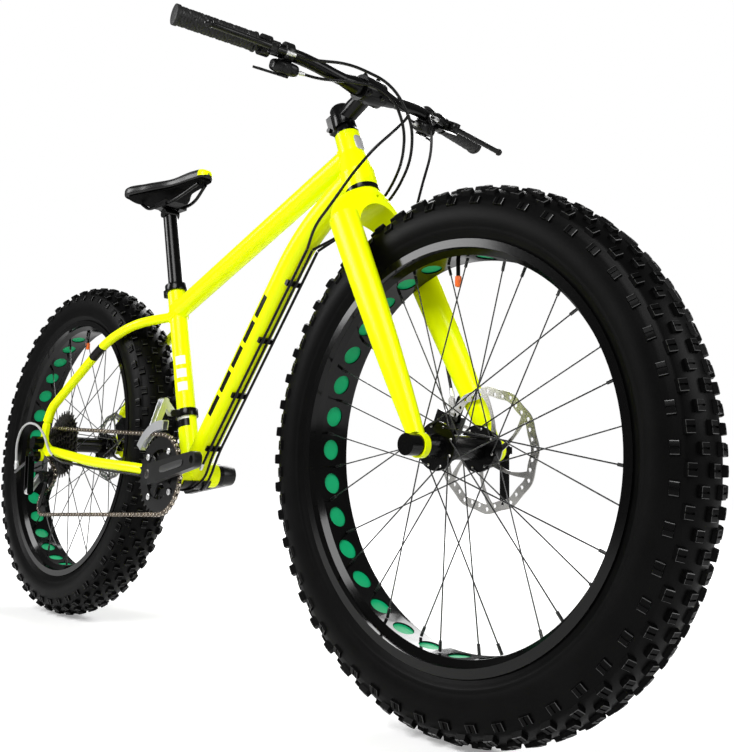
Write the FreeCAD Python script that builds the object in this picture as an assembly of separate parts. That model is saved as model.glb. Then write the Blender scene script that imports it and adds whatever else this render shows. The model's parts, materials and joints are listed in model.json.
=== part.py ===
import FreeCAD, Part
import math
import os

V = FreeCAD.Vector
UP = V(0, 0, 1)
AHEAD = V(1, 0, 0)
LEFT = V(0, 1, 0)
SIDES = (-1, 1)
TURN_DEG = 360

# Stance: the origin is on the ground midway between the axles, +X ahead, +Y to the rider's left.
WHEELBASE = 1155.0
WHEEL_RADIUS = 372.0
FRONT_HUB_WIDTH = 150.0
REAR_HUB_WIDTH = 177.0
HEAD_DEG = 68.6
SEAT_DEG = 72.9
FORK_LENGTH = 461.6
FORK_OFFSET = 49.9
BRACKET_AHEAD = 480.6
BRACKET_DROP = 55.5

# Gaps shared by all pieces
SEAT_GAP = 0.3
RUNNING_GAP = 0.05
OVERRUN = 5.0
ARC_REACH_SHARE = 0.45
UPRIGHT_SHARE = 0.9

# Main tubes
TUBE_WALL = 2.0
HEAD_TUBE_LENGTH = 118.0
HEAD_TUBE_TOP_RADIUS = 22.5
HEAD_TUBE_BASE_RADIUS = 29.5
HEAD_TUBE_BASE_HEIGHT = 34.0
HEAD_TUBE_TAPER_HEIGHT = 76.0
HEAD_TUBE_WALL = 3.0
TOP_TUBE_RADIUS = 20.0
TOP_TUBE_SEAT_HEIGHT = 347.0
TOP_TUBE_HEAD_HEIGHT = 86.5
DOWN_TUBE_RADIUS = 24.5
DOWN_TUBE_HEAD_HEIGHT = 43.0
DOWN_TUBE_BEND_AHEAD = 790.0
DOWN_TUBE_BEND_UP = 737.0
SEAT_TUBE_RADIUS = 18.6
SEAT_TUBE_LENGTH = 407.0
BRACKET_SHELL_RADIUS = 23.5
BRACKET_SHELL_WIDTH = 100.0

# Stays and dropouts: places are ahead of the rear axle, out from the middle and above the ground
STAY_RADIUS = 10.0
CHAINSTAY_TAIL_AHEAD = 44.0
CHAINSTAY_TAIL_OUT = 91.0
CHAINSTAY_TAIL_UP = 355.0
CHAINSTAY_KNEE_AHEAD = 230.0
CHAINSTAY_KNEE_OUT = 82.0
CHAINSTAY_KNEE_UP = 334.0
CHAINSTAY_WAIST_AHEAD = 345.0
CHAINSTAY_WAIST_OUT = 65.0
CHAINSTAY_WAIST_UP = 328.0
CHAINSTAY_NOSE_OUT = 33.0
SEATSTAY_TAIL_AHEAD = 4.0
SEATSTAY_TAIL_OUT = 91.0
SEATSTAY_TAIL_UP = 420.0
SEATSTAY_KNEE_AHEAD = 14.0
SEATSTAY_KNEE_OUT = 88.0
SEATSTAY_KNEE_UP = 452.0
SEATSTAY_BEND_AHEAD = 205.0
SEATSTAY_BEND_OUT = 66.0
SEATSTAY_BEND_UP = 592.0
SEATSTAY_NECK_AHEAD = 300.0
SEATSTAY_NECK_OUT = 51.5
SEATSTAY_NECK_UP = 624.0
SEATSTAY_TOP_HEIGHT = 334.0
SEATSTAY_TOP_OUT = 10.0
DROPOUT_THICKNESS = 8.0
DROPOUT_EYE_RADIUS = 19.0
DROPOUT_BAR_WIDTH = 24.0
HANGER_BACK = 9.0
HANGER_DROP = 30.0
HANGER_EYE_RADIUS = 10.0
HANGER_BOLT_RADIUS = 5.0

# Headset
STEERER_RADIUS = 14.3
LOWER_CUP_HEIGHT = 9.0
UPPER_COVER_HEIGHT = 3.0
BEARING_HEIGHT = 12.0
SPACER_HEIGHT = 15.0
SPACER_BASE_RADIUS = 21.0
TOP_CAP_HEIGHT = 4.0
TOP_CAP_RADIUS = 17.5
CAP_BOLT_RADIUS = 5.0

# Fork
CROWN_TOP_RADIUS = 30.0
CROWN_NECK_DROP = 20.0
CROWN_NECK_HALF_LENGTH = 30.0
CROWN_NECK_HALF_WIDTH = 60.0
CROWN_DROP = 72.0
CROWN_HALF_LENGTH = 27.0
CROWN_HALF_WIDTH = 89.0
CROWN_ARCH_RADIUS = 50.0
CROWN_ARCH_DROP = 36.0
MUDGUARD_HOLE_RADIUS = 3.2
LEG_TOP_DROP = 66.0
LEG_TOP_OUT = 69.0
LEG_FOOT_OUT = 80.0
LEG_STATION_SHARES = (0.0, 0.45, 0.80, 1.0)
LEG_HALF_LENGTHS = (27.0, 25.0, 19.0, 13.0)
LEG_HALF_WIDTHS = (19.5, 16.0, 12.0, 9.5)
LEG_FOOT_RISE = 8.0
FORK_EYE_RADIUS = 17.0
FORK_EYE_THICKNESS = 10.0

# Stem and handlebar
STEM_CLAMP_HEIGHT = 40.0
STEM_CLAMP_RADIUS = 20.0
STEM_NECK_RADIUS = 16.5
STEM_REACH = 72.0
STEM_RISE = 8.0
STEM_LUG_LENGTH = 12.0
STEM_LUG_WIDTH = 24.0
STEM_LUG_HEIGHT = 36.0
STEM_BOLT_SPACING = 20.0
BAR_GRIP_RADIUS = 11.1
BAR_CLAMP_RADIUS = 15.9
BAR_CLAMP_HALF = 34.0
BAR_TAPER_HALF = 60.0
BAR_WALL = 2.2
BAR_HALF = 348.0
BAR_SWEEP = 54.0
BAR_RISE = 19.0
BAR_KNEE_OUT = 66.0
BAR_BEND_OUT = 132.0
BAR_BEND_SWEEP = 12.0
BAR_BEND_RISE = 14.0
BAR_SEAT_RADIUS = 23.0
BAR_SEAT_WIDTH = 46.0
FACEPLATE_GAP = 1.5
FACEPLATE_BOLT_SPACING_UP = 39.0
FACEPLATE_BOLT_SPACING_SIDE = 30.0
SMALL_BOLT_RADIUS = 2.5
SMALL_BOLT_HEAD_RADIUS = 4.2
SMALL_BOLT_HEAD_HEIGHT = 4.5

# Grips, brake levers and shifters: places run in from the bar end and out in front of the bar
GRIP_LENGTH = 130.0
GRIP_RADIUS = 15.5
GRIP_FLANGE_RADIUS = 17.5
GRIP_FLANGE_WIDTH = 4.0
GRIP_PLUG_THICKNESS = 3.0
LEVER_DROOP_DEG = 27.0
LEVER_CLAMP_PLACE = 146.0
LEVER_CLAMP_RADIUS = 17.0
LEVER_CLAMP_WIDTH = 16.0
LEVER_PIVOT_REACH = 42.0
LEVER_PIVOT_RADIUS = 3.0
LEVER_BOSS_RADIUS = 9.0
LEVER_BOSS_HEIGHT = 11.0
LEVER_EAR_THICKNESS = 4.0
LEVER_BODY_LENGTH = 34.0
LEVER_BARREL_LENGTH = 22.0
LEVER_BARREL_RADIUS = 5.0
LEVER_BLADE_LENGTH = 118.0
LEVER_BLADE_FLARE = 36.0
LEVER_BLADE_WAIST = 60.0
LEVER_BLADE_WAIST_FLARE = 20.0
LEVER_BLADE_RADIUS = 5.0
LEVER_BALL_RADIUS = 7.0
SHIFTER_PLACE = 186.0
SHIFTER_LENGTH = 44.0
SHIFTER_DEPTH = 30.0
SHIFTER_HEIGHT = 20.0
SHIFTER_DROP = 24.0
SHIFTER_REACH = 6.0
SHIFTER_PIVOT_RADIUS = 3.0
SHIFTER_HUB_RADIUS = 11.0
SHIFTER_PADDLE_LENGTH = 40.0
SHIFTER_PADDLE_WIDTH = 15.0
SHIFTER_PADDLE_THICKNESS = 4.0
SHIFTER_PADDLE_STEP = 18.0
SHIFTER_PADDLE_NECK_SHARE = 0.45

# Tires, tubes and rims
TREAD_HEIGHT = 6.0
TIRE_HALF_WIDTH = 48.0
TIRE_WIDEST_RADIUS = 322.0
TIRE_SHOULDER_RADIUS = 351.0
TIRE_SHOULDER_HALF = 41.0
TIRE_WALL = 3.5
KNOB_COUNT = 50
KNOB_ROW_SHARES = (-0.92, -0.46, 0.0, 0.46, 0.92)
KNOB_LENGTH = 17.0
KNOB_WIDTH = 13.0
KNOB_SINK = 2.4
BEAD_RADIUS = 280.0
BEAD_WIDTH = 6.0
TUBE_SKIN = 1.5
TUBE_CLEARANCE = 1.0
RIM_BED_RADIUS = 268.0
RIM_BED_HALF = 22.0
RIM_HALF_WIDTH = 40.0
RIM_SEAT_RADIUS = 278.5
RIM_FLANGE_RADIUS = 288.0
RIM_WALL = 2.4
STRIP_THICKNESS = 0.8
STRIP_HALF_WIDTH = 21.0
SPOKE_COUNT = 32
WINDOW_RADIUS = 15.8
FRONT_WINDOW_DEG = 91.1
REAR_WINDOW_DEG = 96.7
VALVE_RADIUS = 3.0
VALVE_HOLE_RADIUS = 3.6
VALVE_LENGTH = 38.0
VALVE_CAP_LENGTH = 14.0
VALVE_CAP_RADIUS = 4.0

# Spokes
SPOKE_RADIUS = 1.0
NIPPLE_RADIUS = 2.2
NIPPLE_LENGTH = 14.0
SPOKE_CROSSINGS = 3
SPOKE_RIM_OFFSET = 9.0
FLANGE_EDGE_RUN = 11.0

# Hubs and axles
FLANGE_RADIUS = 33.0
FLANGE_THICKNESS = 3.6
SPOKE_CIRCLE_RADIUS = 28.0
HUB_BARREL_RADIUS = 17.0
HUB_END_RADIUS = 11.0
FRONT_FLANGE_RIGHT = 46.0
FRONT_FLANGE_LEFT = 41.0
REAR_FLANGE_RIGHT = 37.0
REAR_FLANGE_LEFT = 50.0
AXLE_RADIUS = 7.5
AXLE_NUT_RADIUS = 14.5
AXLE_NUT_LENGTH = 22.0
AXLE_HEAD_RADIUS = 12.0
AXLE_HEAD_LENGTH = 9.0
SKEWER_PIVOT_OUT = 18.0
SKEWER_PIN_RADIUS = 3.0
SKEWER_BOSS_RADIUS = 7.5
SKEWER_BOSS_WIDTH = 13.0
SKEWER_EAR_THICKNESS = 3.5
SKEWER_EAR_HALF_HEIGHT = 5.0
SKEWER_LEVER_LENGTH = 72.0
SKEWER_LEVER_WIDTH = 13.0
SKEWER_LEVER_THICKNESS = 6.0

# Brakes
ROTOR_FRONT_RADIUS = 90.0
ROTOR_REAR_RADIUS = 80.0
ROTOR_BAND_WIDTH = 14.0
ROTOR_THICKNESS = 1.8
ROTOR_FRONT_OUT = 63.0
ROTOR_REAR_OUT = 74.0
ROTOR_ARM_COUNT = 6
ROTOR_ARM_WIDTH = 9.0
ROTOR_ARM_LEAN_DEG = 30.0
ROTOR_HUB_RADIUS = 27.0
ROTOR_BOSS_RADIUS = 19.0
ROTOR_BOLT_CIRCLE_RADIUS = 22.0
ROTOR_HOLE_COUNT = 36
ROTOR_HOLE_RADIUS = 2.4
CALIPER_FRONT_DEG = 157.0
CALIPER_REAR_DEG = 32.0
CALIPER_LENGTH = 44.0
CALIPER_DEPTH = 34.0
CALIPER_HALF_WIDTH = 15.0
CALIPER_SLOT_WIDTH = 8.0
CALIPER_OVERHANG = 12.0
CALIPER_BRIDGE = 6.0
PAD_LENGTH = 24.0
PAD_DEPTH = 18.0
CALIPER_ARM_LENGTH = 42.0
CALIPER_ARM_WIDTH = 11.0
CALIPER_ARM_THICKNESS = 4.0
CALIPER_ARM_DEG = 100.0
CALIPER_PIN_RADIUS = 5.0
BRACKET_TAB_THICKNESS = 6.0
BRACKET_TAB_WIDTH = 14.0

# Drive
CHAIN_PITCH = 12.7
CHAIN_LINE = 70.0
CHAIN_PLATE_HALF_HEIGHT = 4.0
CHAIN_PLATE_INSIDE = 1.5
CHAIN_PLATE_THICKNESS = 1.6
CHAIN_ROLLER_RADIUS = 3.7
TOOTH_ROOT_DEPTH = 4.1
TOOTH_TIP_HEIGHT = 3.2
TOOTH_ROOT_HALF = 2.6
TOOTH_TIP_HALF = 0.8
SPROCKET_THICKNESS = 1.8
BIG_RING_TEETH = 36
SMALL_RING_TEETH = 22
RING_SPACING = 8.0
BIG_RING_BORE = 46.0
SMALL_RING_BORE = 27.0
COG_TEETH = (11, 13, 15, 17, 19, 21, 24, 28, 32, 36)
DRIVE_COG_INDEX = 3
COG_SPACING = 4.0
PULLEY_TEETH = 11
PULLEY_BORE = 3.0
FREEHUB_RADIUS = 17.2
SPACER_RADIUS = 18.2
LOCKRING_THICKNESS = 3.0
LOCKRING_RADIUS = 18.0

# Crank
CRANK_LENGTH = 175.0
CRANK_DEG = 9.4
SPINDLE_RADIUS = 12.0
CRANK_BOSS_FACE = 96.0
CRANK_TIP_FACE = 114.0
CRANK_LEFT_FACE = 90.0
CRANK_THICKNESS = 15.0
CRANK_BOSS_HALF_WIDTH = 19.0
CRANK_TIP_HALF_WIDTH = 14.0
PEDAL_THREAD_RADIUS = 7.1
SPIDER_ARM_COUNT = 4
SPIDER_ARM_DEG = 45.0
SPIDER_ARM_WIDTH = 15.0
SPIDER_THICKNESS = 4.0
RING_BOLT_CIRCLE_RADIUS = 52.0
SMALL_RING_BOLT_CIRCLE_RADIUS = 32.0
RING_BOLT_RADIUS = 4.0
RING_BOLT_HEAD_RADIUS = 6.0
RING_BOLT_HEAD_HEIGHT = 1.6
CUP_WIDTH = 11.0
CUP_RADIUS = 21.5

# Rear derailleur: places are ahead of the rear axle and below it
GUIDE_PULLEY_AHEAD = 6.0
GUIDE_PULLEY_DROP = 74.0
CAGE_LENGTH = 66.0
CAGE_LEAN_DEG = 22.0
CAGE_LEAN_LOW_DEG = 6.0
CAGE_LEAN_HIGH_DEG = 45.0
CAGE_LEAN_TOLERANCE_DEG = 0.00000002
CAGE_PLATE_THICKNESS = 2.0
CAGE_PLATE_GAP = 6.0
CAGE_PLATE_WIDTH = 15.0
CAGE_PIVOT_RADIUS = 5.0
KNUCKLE_RADIUS = 12.0
KNUCKLE_INNER_OUT = 78.0
KNUCKLE_OUTER_OUT = 92.0
KNUCKLE_ARM_WIDTH = 9.0
LINK_PIVOT_RADIUS = 3.0
LINK_LENGTH_OUT = 22.0
LINK_LENGTH_UP = 34.0
LINK_WIDTH = 14.0
LINK_HALF_HEIGHT = 6.5
LINK_EAR_THICKNESS = 3.0
REAR_LINK_AHEAD = -23.0
REAR_BRACKET_OUT = 113.0
BARREL_RADIUS = 4.0
BARREL_BACK = 103.0
BARREL_DROP = 66.4

# Front derailleur
FRONT_CLAMP_HEIGHT = 122.0
FRONT_CLAMP_WIDTH = 15.0
FRONT_CLAMP_THICKNESS = 4.0
FRONT_LINK_OUT = 34.0
FRONT_LINK_LENGTH_OUT = 20.0
FRONT_LINK_LENGTH_UP = 22.0
FRONT_CAGE_GAP = 4.5
FRONT_CAGE_INNER_RADIUS = 82.0
FRONT_CAGE_OUTER_RADIUS = 100.0
FRONT_CAGE_START_DEG = 86.0
FRONT_CAGE_END_DEG = 148.0
FRONT_CAGE_BRIDGE_DEG = 118.0
FRONT_CAGE_TAIL_DEG = 144.0
FRONT_CAGE_THICKNESS = 1.6

# Seat
POST_RADIUS = 15.5
POST_WALL = 2.0
POST_INSERTION = 160.0
POST_EXPOSED = 166.0
COLLAR_THICKNESS = 4.5
COLLAR_HEIGHT = 16.0
COLLAR_LUG_LENGTH = 12.0
COLLAR_LUG_WIDTH = 22.0
COLLAR_SLOT = 2.0
CLAMP_LENGTH = 46.0
CLAMP_WIDTH = 54.0
CLAMP_HALF_HEIGHT = 7.0
CLAMP_BOLT_SPACING = 34.0
CLAMP_PIVOT_RADIUS = 11.0
RAIL_RADIUS = 3.5
RAIL_HALF_SPACING = 22.0
RAIL_NOSE_HALF_SPACING = 9.0
RAIL_STRAIGHT_HALF = 58.0
SADDLE_BACK = 110.0
SADDLE_NOSE = 148.0
SADDLE_HEIGHT = 72.0
SADDLE_THICKNESS = 26.0
SADDLE_TILT_DEG = 2.0
SADDLE_BASE_THICKNESS = 3.0
SADDLE_STATION_SHARES = (0.0, 0.10, 0.34, 0.58, 0.82, 1.0)
SADDLE_HALF_WIDTH_SHARES = (0.62, 1.0, 0.86, 0.46, 0.33, 0.20)
SADDLE_TOP_SHARES = (0.90, 1.0, 0.93, 0.91, 0.90, 0.62)
SADDLE_HALF_WIDTH = 70.0
SADDLE_TUCK_SHARE = 0.82
SADDLE_SKIRT_SHARE = 0.55

# Cables
CABLE_RADIUS = 2.5
CLIP_LENGTH = 10.0
CLIP_HALF_WIDTH = 17.0
CLIP_PLACE_SHARES = (0.16, 0.43, 0.70, 0.97)

# Routes in millimetres: ahead of the rear axle, out to the left, above the ground
REAR_BRAKE_LOOP_ROUTE = (
    (942, -178.5, 976.4), (952, -134, 976), (990, -88, 975), (1024, -22, 952), (1029, 22, 897),
    (1010, 41, 842), (967, 50, 796), (912, 47, 758), (856, 34, 740), (813.7, 12, 711.1))
GEAR_LOOP_ROUTE = (
    (924.3, -142.7, 961.3), (934, -104, 960), (966, -70, 958), (998, -36, 952), (1015, -6, 930),
    (1016, 18, 886), (1000, 30, 838), (960, 43, 802), (908, 44, 764), (852, 22, 732), (813.7, 0, 711.1))
FRONT_GEAR_LOOP_ROUTE = (
    (924.3, 142.7, 961.3), (934, 104, 960), (968, 72, 950), (1000, 40, 920), (1006, 4, 884),
    (994, -30, 846), (962, -46, 806), (914, -46, 766), (858, -34, 740), (813.7, -12, 711.1))
FRONT_BRAKE_ROUTE = (
    (942, 178.5, 976.4), (954, 140, 972), (984, 116, 938), (990, 112, 880), (974, 106, 822),
    (960, 102, 762), (974, 101.5, 700), (1001, 99, 632), (1030, 96, 562), (1050, 92, 502), (1068, 86, 452))
REAR_BRAKE_ROUTE = (
    (812.7, 12, 709.8), (548, 12, 356), (526, 13, 314), (494, 18, 286), (452, 34, 292), (404, 53, 310.4),
    (346, 67, 315.2), (286, 76, 318.4), (226, 83, 321.7), (168, 89, 328), (122, 101, 336), (94, 107, 366),
    (78, 104, 404), (67, 97, 440))
GEAR_ROUTE = (
    (812.7, 0, 709.8), (546, 0, 353), (524, 2, 310), (492, -10, 286), (450, -34, 292), (404, -53, 310.4),
    (346, -67, 315.2), (286, -76, 318.4), (226, -83, 321.7), (160, -87, 329), (104, -98, 332),
    (68, -107, 352), (36, -109, 390), (-4, -110, 412), (-52, -111, 418), (-92, -111, 404),
    (-110, -110, 366), (-98.5, -108, 312.5))
FRONT_GEAR_ROUTE = ((812.7, -12, 709.8), (548, -12, 356), (531, -13, 328))


def from_rear(ahead, out, up):
    """Place given ahead of the rear axle, to the left and above the ground."""
    return V(ahead - WHEELBASE / 2, out, up)


def direction(degrees):
    """Unit direction in the side view, turned from ahead towards up."""
    angle = math.radians(degrees)
    return V(math.cos(angle), 0, math.sin(angle))


REAR_AXLE = from_rear(0, 0, WHEEL_RADIUS)
FRONT_AXLE = from_rear(WHEELBASE, 0, WHEEL_RADIUS)
BRACKET = from_rear(BRACKET_AHEAD, 0, WHEEL_RADIUS - BRACKET_DROP)
STEER_AXIS = V(-math.cos(math.radians(HEAD_DEG)), 0, math.sin(math.radians(HEAD_DEG)))
STEER_AHEAD = LEFT.cross(STEER_AXIS)
SEAT_AXIS = V(-math.cos(math.radians(SEAT_DEG)), 0, math.sin(math.radians(SEAT_DEG)))
SEAT_AHEAD = LEFT.cross(SEAT_AXIS)
CROWN = FRONT_AXLE - STEER_AHEAD * FORK_OFFSET + STEER_AXIS * FORK_LENGTH
HEAD_TOP_HEIGHT = LOWER_CUP_HEIGHT + HEAD_TUBE_LENGTH
STEM_BASE_HEIGHT = HEAD_TOP_HEIGHT + UPPER_COVER_HEIGHT + SPACER_HEIGHT
STEM_MIDDLE_HEIGHT = STEM_BASE_HEIGHT + STEM_CLAMP_HEIGHT / 2
FRONT_DROPOUT_FACE = FRONT_HUB_WIDTH / 2
REAR_DROPOUT_FACE = REAR_HUB_WIDTH / 2


def on_steerer(ahead, out, up):
    """Place measured from the crown seat, along the steering axis."""
    return CROWN + STEER_AHEAD * ahead + LEFT * out + STEER_AXIS * up


def on_seat(up, ahead=0, out=0):
    """Place measured from the bottom bracket, along the seat tube."""
    return BRACKET + SEAT_AXIS * up + SEAT_AHEAD * ahead + LEFT * out


BAR_MIDDLE = on_steerer(STEM_REACH, 0, STEM_MIDDLE_HEIGHT + STEM_RISE)
SADDLE_CLAMP = on_seat(SEAT_TUBE_LENGTH + POST_EXPOSED + CLAMP_PIVOT_RADIUS)


def rod(start, end, radius):
    axis = end - start
    return Part.makeCylinder(radius, axis.Length, start, axis)


def pipe(start, end, outer, inner):
    return rod(start, end, outer).cut(rod(start, end, inner))


def lathe(outline, base, axis):
    """Solid turned from (along, radius) points about the axis through base."""
    points = [V(radius, 0, along) for along, radius in outline]
    points.append(points[0])
    turned = Part.Face(Part.makePolygon(points)).revolve(V(), UP, TURN_DEG)
    turned.Placement = FreeCAD.Placement(base, FreeCAD.Rotation(UP, axis))
    return turned


def block(middle, length, width, height):
    size = V(length, width, height)
    return Part.makeBox(length, width, height, middle - size * 0.5)


def placed(shape, origin, ahead, side):
    """Shape drawn about zero, carried to origin with its X and Y axes along ahead and side."""
    third = ahead.cross(side)
    matrix = FreeCAD.Matrix(ahead.x, side.x, third.x, origin.x,
                            ahead.y, side.y, third.y, origin.y,
                            ahead.z, side.z, third.z, origin.z)
    moved = shape.copy()
    moved.Placement = FreeCAD.Placement(matrix).multiply(moved.Placement)
    return moved


def prism(points, depth):
    """Flat outline drawn as points, carried along depth."""
    return Part.Face(Part.makePolygon(points + [points[0]])).extrude(depth)


def bent_wire(points):
    """Straight runs joined by tangent arcs, each as large as its two runs allow."""
    edges = []
    start = points[0]
    for before, corner, after in zip(points, points[1:], points[2:]):
        back = before - corner
        forth = after - corner
        reach = ARC_REACH_SHARE * min(back.Length, forth.Length)
        half_angle = back.getAngle(forth) / 2
        back.normalize()
        forth.normalize()
        inward = back + forth
        inward.normalize()
        radius = reach * math.tan(half_angle)
        middle = corner + inward * (reach / math.cos(half_angle) - radius)
        leave = corner + forth * reach
        edges.append(Part.makeLine(start, corner + back * reach))
        edges.append(Part.Arc(corner + back * reach, middle, leave).toShape())
        start = leave
    edges.append(Part.makeLine(start, points[-1]))
    return Part.Wire(edges)


def bent_rod(points, radius):
    ring = Part.Wire(Part.makeCircle(radius, points[0], points[1] - points[0]))
    return bent_wire(points).makePipeShell([ring], True, False)


def bent_pipe(points, outer, inner):
    return bent_rod(points, outer).cut(bent_rod(points, inner))


def flat_bar(start, end, width, thickness):
    """Round-ended bar between two places in the side view, thickness carried to the left."""
    axis = end - start
    across = axis.cross(LEFT)
    across.normalize()
    half = across * (width / 2)
    depth = LEFT * thickness
    bar = prism([start + half, end + half, end - half, start - half], depth)
    ends = [rod(place, place + depth, width / 2) for place in (start, end)]
    return bar.fuse(ends).removeSplitter()


def fused(shapes):
    return shapes[0].fuse(shapes[1:]).removeSplitter()


def largest(shape):
    return max(shape.Solids, key=lambda solid: solid.Volume)


def save(node, shapes):
    solids = [solid for shape in shapes for solid in shape.Solids]
    Part.makeCompound(solids).exportStep(os.path.join("parts", node + ".step"))
    volume = sum(solid.Volume for solid in solids)
    print(node, len(solids), "solids", round(volume), "mm3", all(solid.isValid() for solid in solids))


def head_tube_outline(inset):
    """Outline of the tapered head tube wall, inset from its outer face."""
    return ((0, HEAD_TUBE_BASE_RADIUS - inset),
            (HEAD_TUBE_BASE_HEIGHT, HEAD_TUBE_BASE_RADIUS - inset),
            (HEAD_TUBE_TAPER_HEIGHT, HEAD_TUBE_TOP_RADIUS - inset),
            (HEAD_TUBE_LENGTH, HEAD_TUBE_TOP_RADIUS - inset))


def head_tube_core():
    outline = ((0, 0),) + head_tube_outline(0) + ((HEAD_TUBE_LENGTH, 0),)
    return lathe(outline, on_steerer(0, 0, LOWER_CUP_HEIGHT), STEER_AXIS)


def head_tube():
    outline = head_tube_outline(0) + head_tube_outline(HEAD_TUBE_WALL)[::-1]
    return lathe(outline, on_steerer(0, 0, LOWER_CUP_HEIGHT), STEER_AXIS)


def seat_tube_core():
    return rod(BRACKET, on_seat(SEAT_TUBE_LENGTH), SEAT_TUBE_RADIUS)


def bracket_shell_core():
    half = LEFT * (BRACKET_SHELL_WIDTH / 2)
    return rod(BRACKET - half, BRACKET + half, BRACKET_SHELL_RADIUS)


def bracket_shell():
    half = LEFT * (BRACKET_SHELL_WIDTH / 2 + OVERRUN)
    bore = rod(BRACKET - half, BRACKET + half, BRACKET_SHELL_RADIUS - HEAD_TUBE_WALL)
    return bracket_shell_core().cut(bore)


def seat_tube():
    bore = rod(BRACKET, on_seat(SEAT_TUBE_LENGTH + OVERRUN), POST_RADIUS + RUNNING_GAP)
    return seat_tube_core().cut(bore).cut(bracket_shell_core()).Solids[-1]


def top_tube():
    start = on_seat(TOP_TUBE_SEAT_HEIGHT)
    end = on_steerer(0, 0, TOP_TUBE_HEAD_HEIGHT)
    tube = pipe(start, end, TOP_TUBE_RADIUS, TOP_TUBE_RADIUS - TUBE_WALL)
    return largest(tube.cut(head_tube_core()).cut(seat_tube_core()))


def top_tube_core():
    return rod(on_seat(TOP_TUBE_SEAT_HEIGHT), on_steerer(0, 0, TOP_TUBE_HEAD_HEIGHT), TOP_TUBE_RADIUS)


def down_tube():
    bend = from_rear(DOWN_TUBE_BEND_AHEAD, 0, DOWN_TUBE_BEND_UP)
    points = [BRACKET, bend, on_steerer(0, 0, DOWN_TUBE_HEAD_HEIGHT)]
    tube = bent_pipe(points, DOWN_TUBE_RADIUS, DOWN_TUBE_RADIUS - TUBE_WALL)
    for neighbour in (head_tube_core(), bracket_shell_core(), seat_tube_core(), top_tube_core()):
        tube = tube.cut(neighbour)
    return largest(tube)


def main_frame():
    return [head_tube(), top_tube(), down_tube(), seat_tube(), bracket_shell()]


def dropout(side):
    """Plate that carries one end of the rear axle; the right one has the derailleur hanger."""
    inner = REAR_DROPOUT_FACE if side > 0 else -REAR_DROPOUT_FACE - DROPOUT_THICKNESS
    eye = REAR_AXLE + LEFT * inner
    high = from_rear(SEATSTAY_TAIL_AHEAD, inner, SEATSTAY_TAIL_UP - DROPOUT_BAR_WIDTH / 2)
    low = from_rear(CHAINSTAY_TAIL_AHEAD - DROPOUT_BAR_WIDTH / 2, inner, CHAINSTAY_TAIL_UP)
    pieces = [rod(eye, eye + LEFT * DROPOUT_THICKNESS, DROPOUT_EYE_RADIUS),
              flat_bar(eye, high, DROPOUT_BAR_WIDTH, DROPOUT_THICKNESS),
              flat_bar(eye, low, DROPOUT_BAR_WIDTH, DROPOUT_THICKNESS)]
    holes = [(eye, AXLE_RADIUS + SEAT_GAP)]
    if side < 0:
        hanger = eye + V(-HANGER_BACK, 0, -HANGER_DROP)
        pieces.append(flat_bar(eye, hanger, HANGER_EYE_RADIUS * 2, DROPOUT_THICKNESS))
        holes.append((hanger, HANGER_BOLT_RADIUS + SEAT_GAP))
    plate = fused(pieces)
    for place, radius in holes:
        plate = plate.cut(rod(place - LEFT * OVERRUN, place + LEFT * (DROPOUT_THICKNESS + OVERRUN), radius))
    return plate


def chainstay(side):
    points = [from_rear(CHAINSTAY_TAIL_AHEAD, side * CHAINSTAY_TAIL_OUT, CHAINSTAY_TAIL_UP),
              from_rear(CHAINSTAY_KNEE_AHEAD, side * CHAINSTAY_KNEE_OUT, CHAINSTAY_KNEE_UP),
              from_rear(CHAINSTAY_WAIST_AHEAD, side * CHAINSTAY_WAIST_OUT, CHAINSTAY_WAIST_UP),
              BRACKET + LEFT * (side * CHAINSTAY_NOSE_OUT)]
    tube = bent_pipe(points, STAY_RADIUS, STAY_RADIUS - TUBE_WALL)
    return largest(tube.cut(bracket_shell_core()).cut(dropout(side)))


def seatstay(side):
    points = [from_rear(SEATSTAY_TAIL_AHEAD, side * SEATSTAY_TAIL_OUT, SEATSTAY_TAIL_UP),
              from_rear(SEATSTAY_KNEE_AHEAD, side * SEATSTAY_KNEE_OUT, SEATSTAY_KNEE_UP),
              from_rear(SEATSTAY_BEND_AHEAD, side * SEATSTAY_BEND_OUT, SEATSTAY_BEND_UP),
              from_rear(SEATSTAY_NECK_AHEAD, side * SEATSTAY_NECK_OUT, SEATSTAY_NECK_UP),
              on_seat(SEATSTAY_TOP_HEIGHT, 0, side * SEATSTAY_TOP_OUT)]
    tube = bent_pipe(points, STAY_RADIUS, STAY_RADIUS - TUBE_WALL)
    own_side = block(V(0, side * WHEEL_RADIUS, WHEEL_RADIUS),
                     WHEELBASE * 2, WHEEL_RADIUS * 2, WHEEL_RADIUS * 3)
    return largest(tube.cut(seat_tube_core()).cut(dropout(side)).common(own_side))


def rear_triangle():
    return [piece(side) for side in SIDES for piece in (dropout, chainstay, seatstay)]


def headset_cups():
    """Lower race, upper cover and the two bearings pressed into the head tube."""
    bore = STEERER_RADIUS + RUNNING_GAP
    race = pipe(on_steerer(0, 0, SEAT_GAP), on_steerer(0, 0, LOWER_CUP_HEIGHT), HEAD_TUBE_BASE_RADIUS, bore)
    cover = pipe(on_steerer(0, 0, HEAD_TOP_HEIGHT), on_steerer(0, 0, HEAD_TOP_HEIGHT + UPPER_COVER_HEIGHT),
                 HEAD_TUBE_TOP_RADIUS, bore)
    lower = pipe(on_steerer(0, 0, LOWER_CUP_HEIGHT), on_steerer(0, 0, LOWER_CUP_HEIGHT + BEARING_HEIGHT),
                 HEAD_TUBE_BASE_RADIUS - HEAD_TUBE_WALL, bore)
    upper = pipe(on_steerer(0, 0, HEAD_TOP_HEIGHT - BEARING_HEIGHT), on_steerer(0, 0, HEAD_TOP_HEIGHT),
                 HEAD_TUBE_TOP_RADIUS - HEAD_TUBE_WALL, bore)
    return [race, cover, lower, upper]


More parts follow.
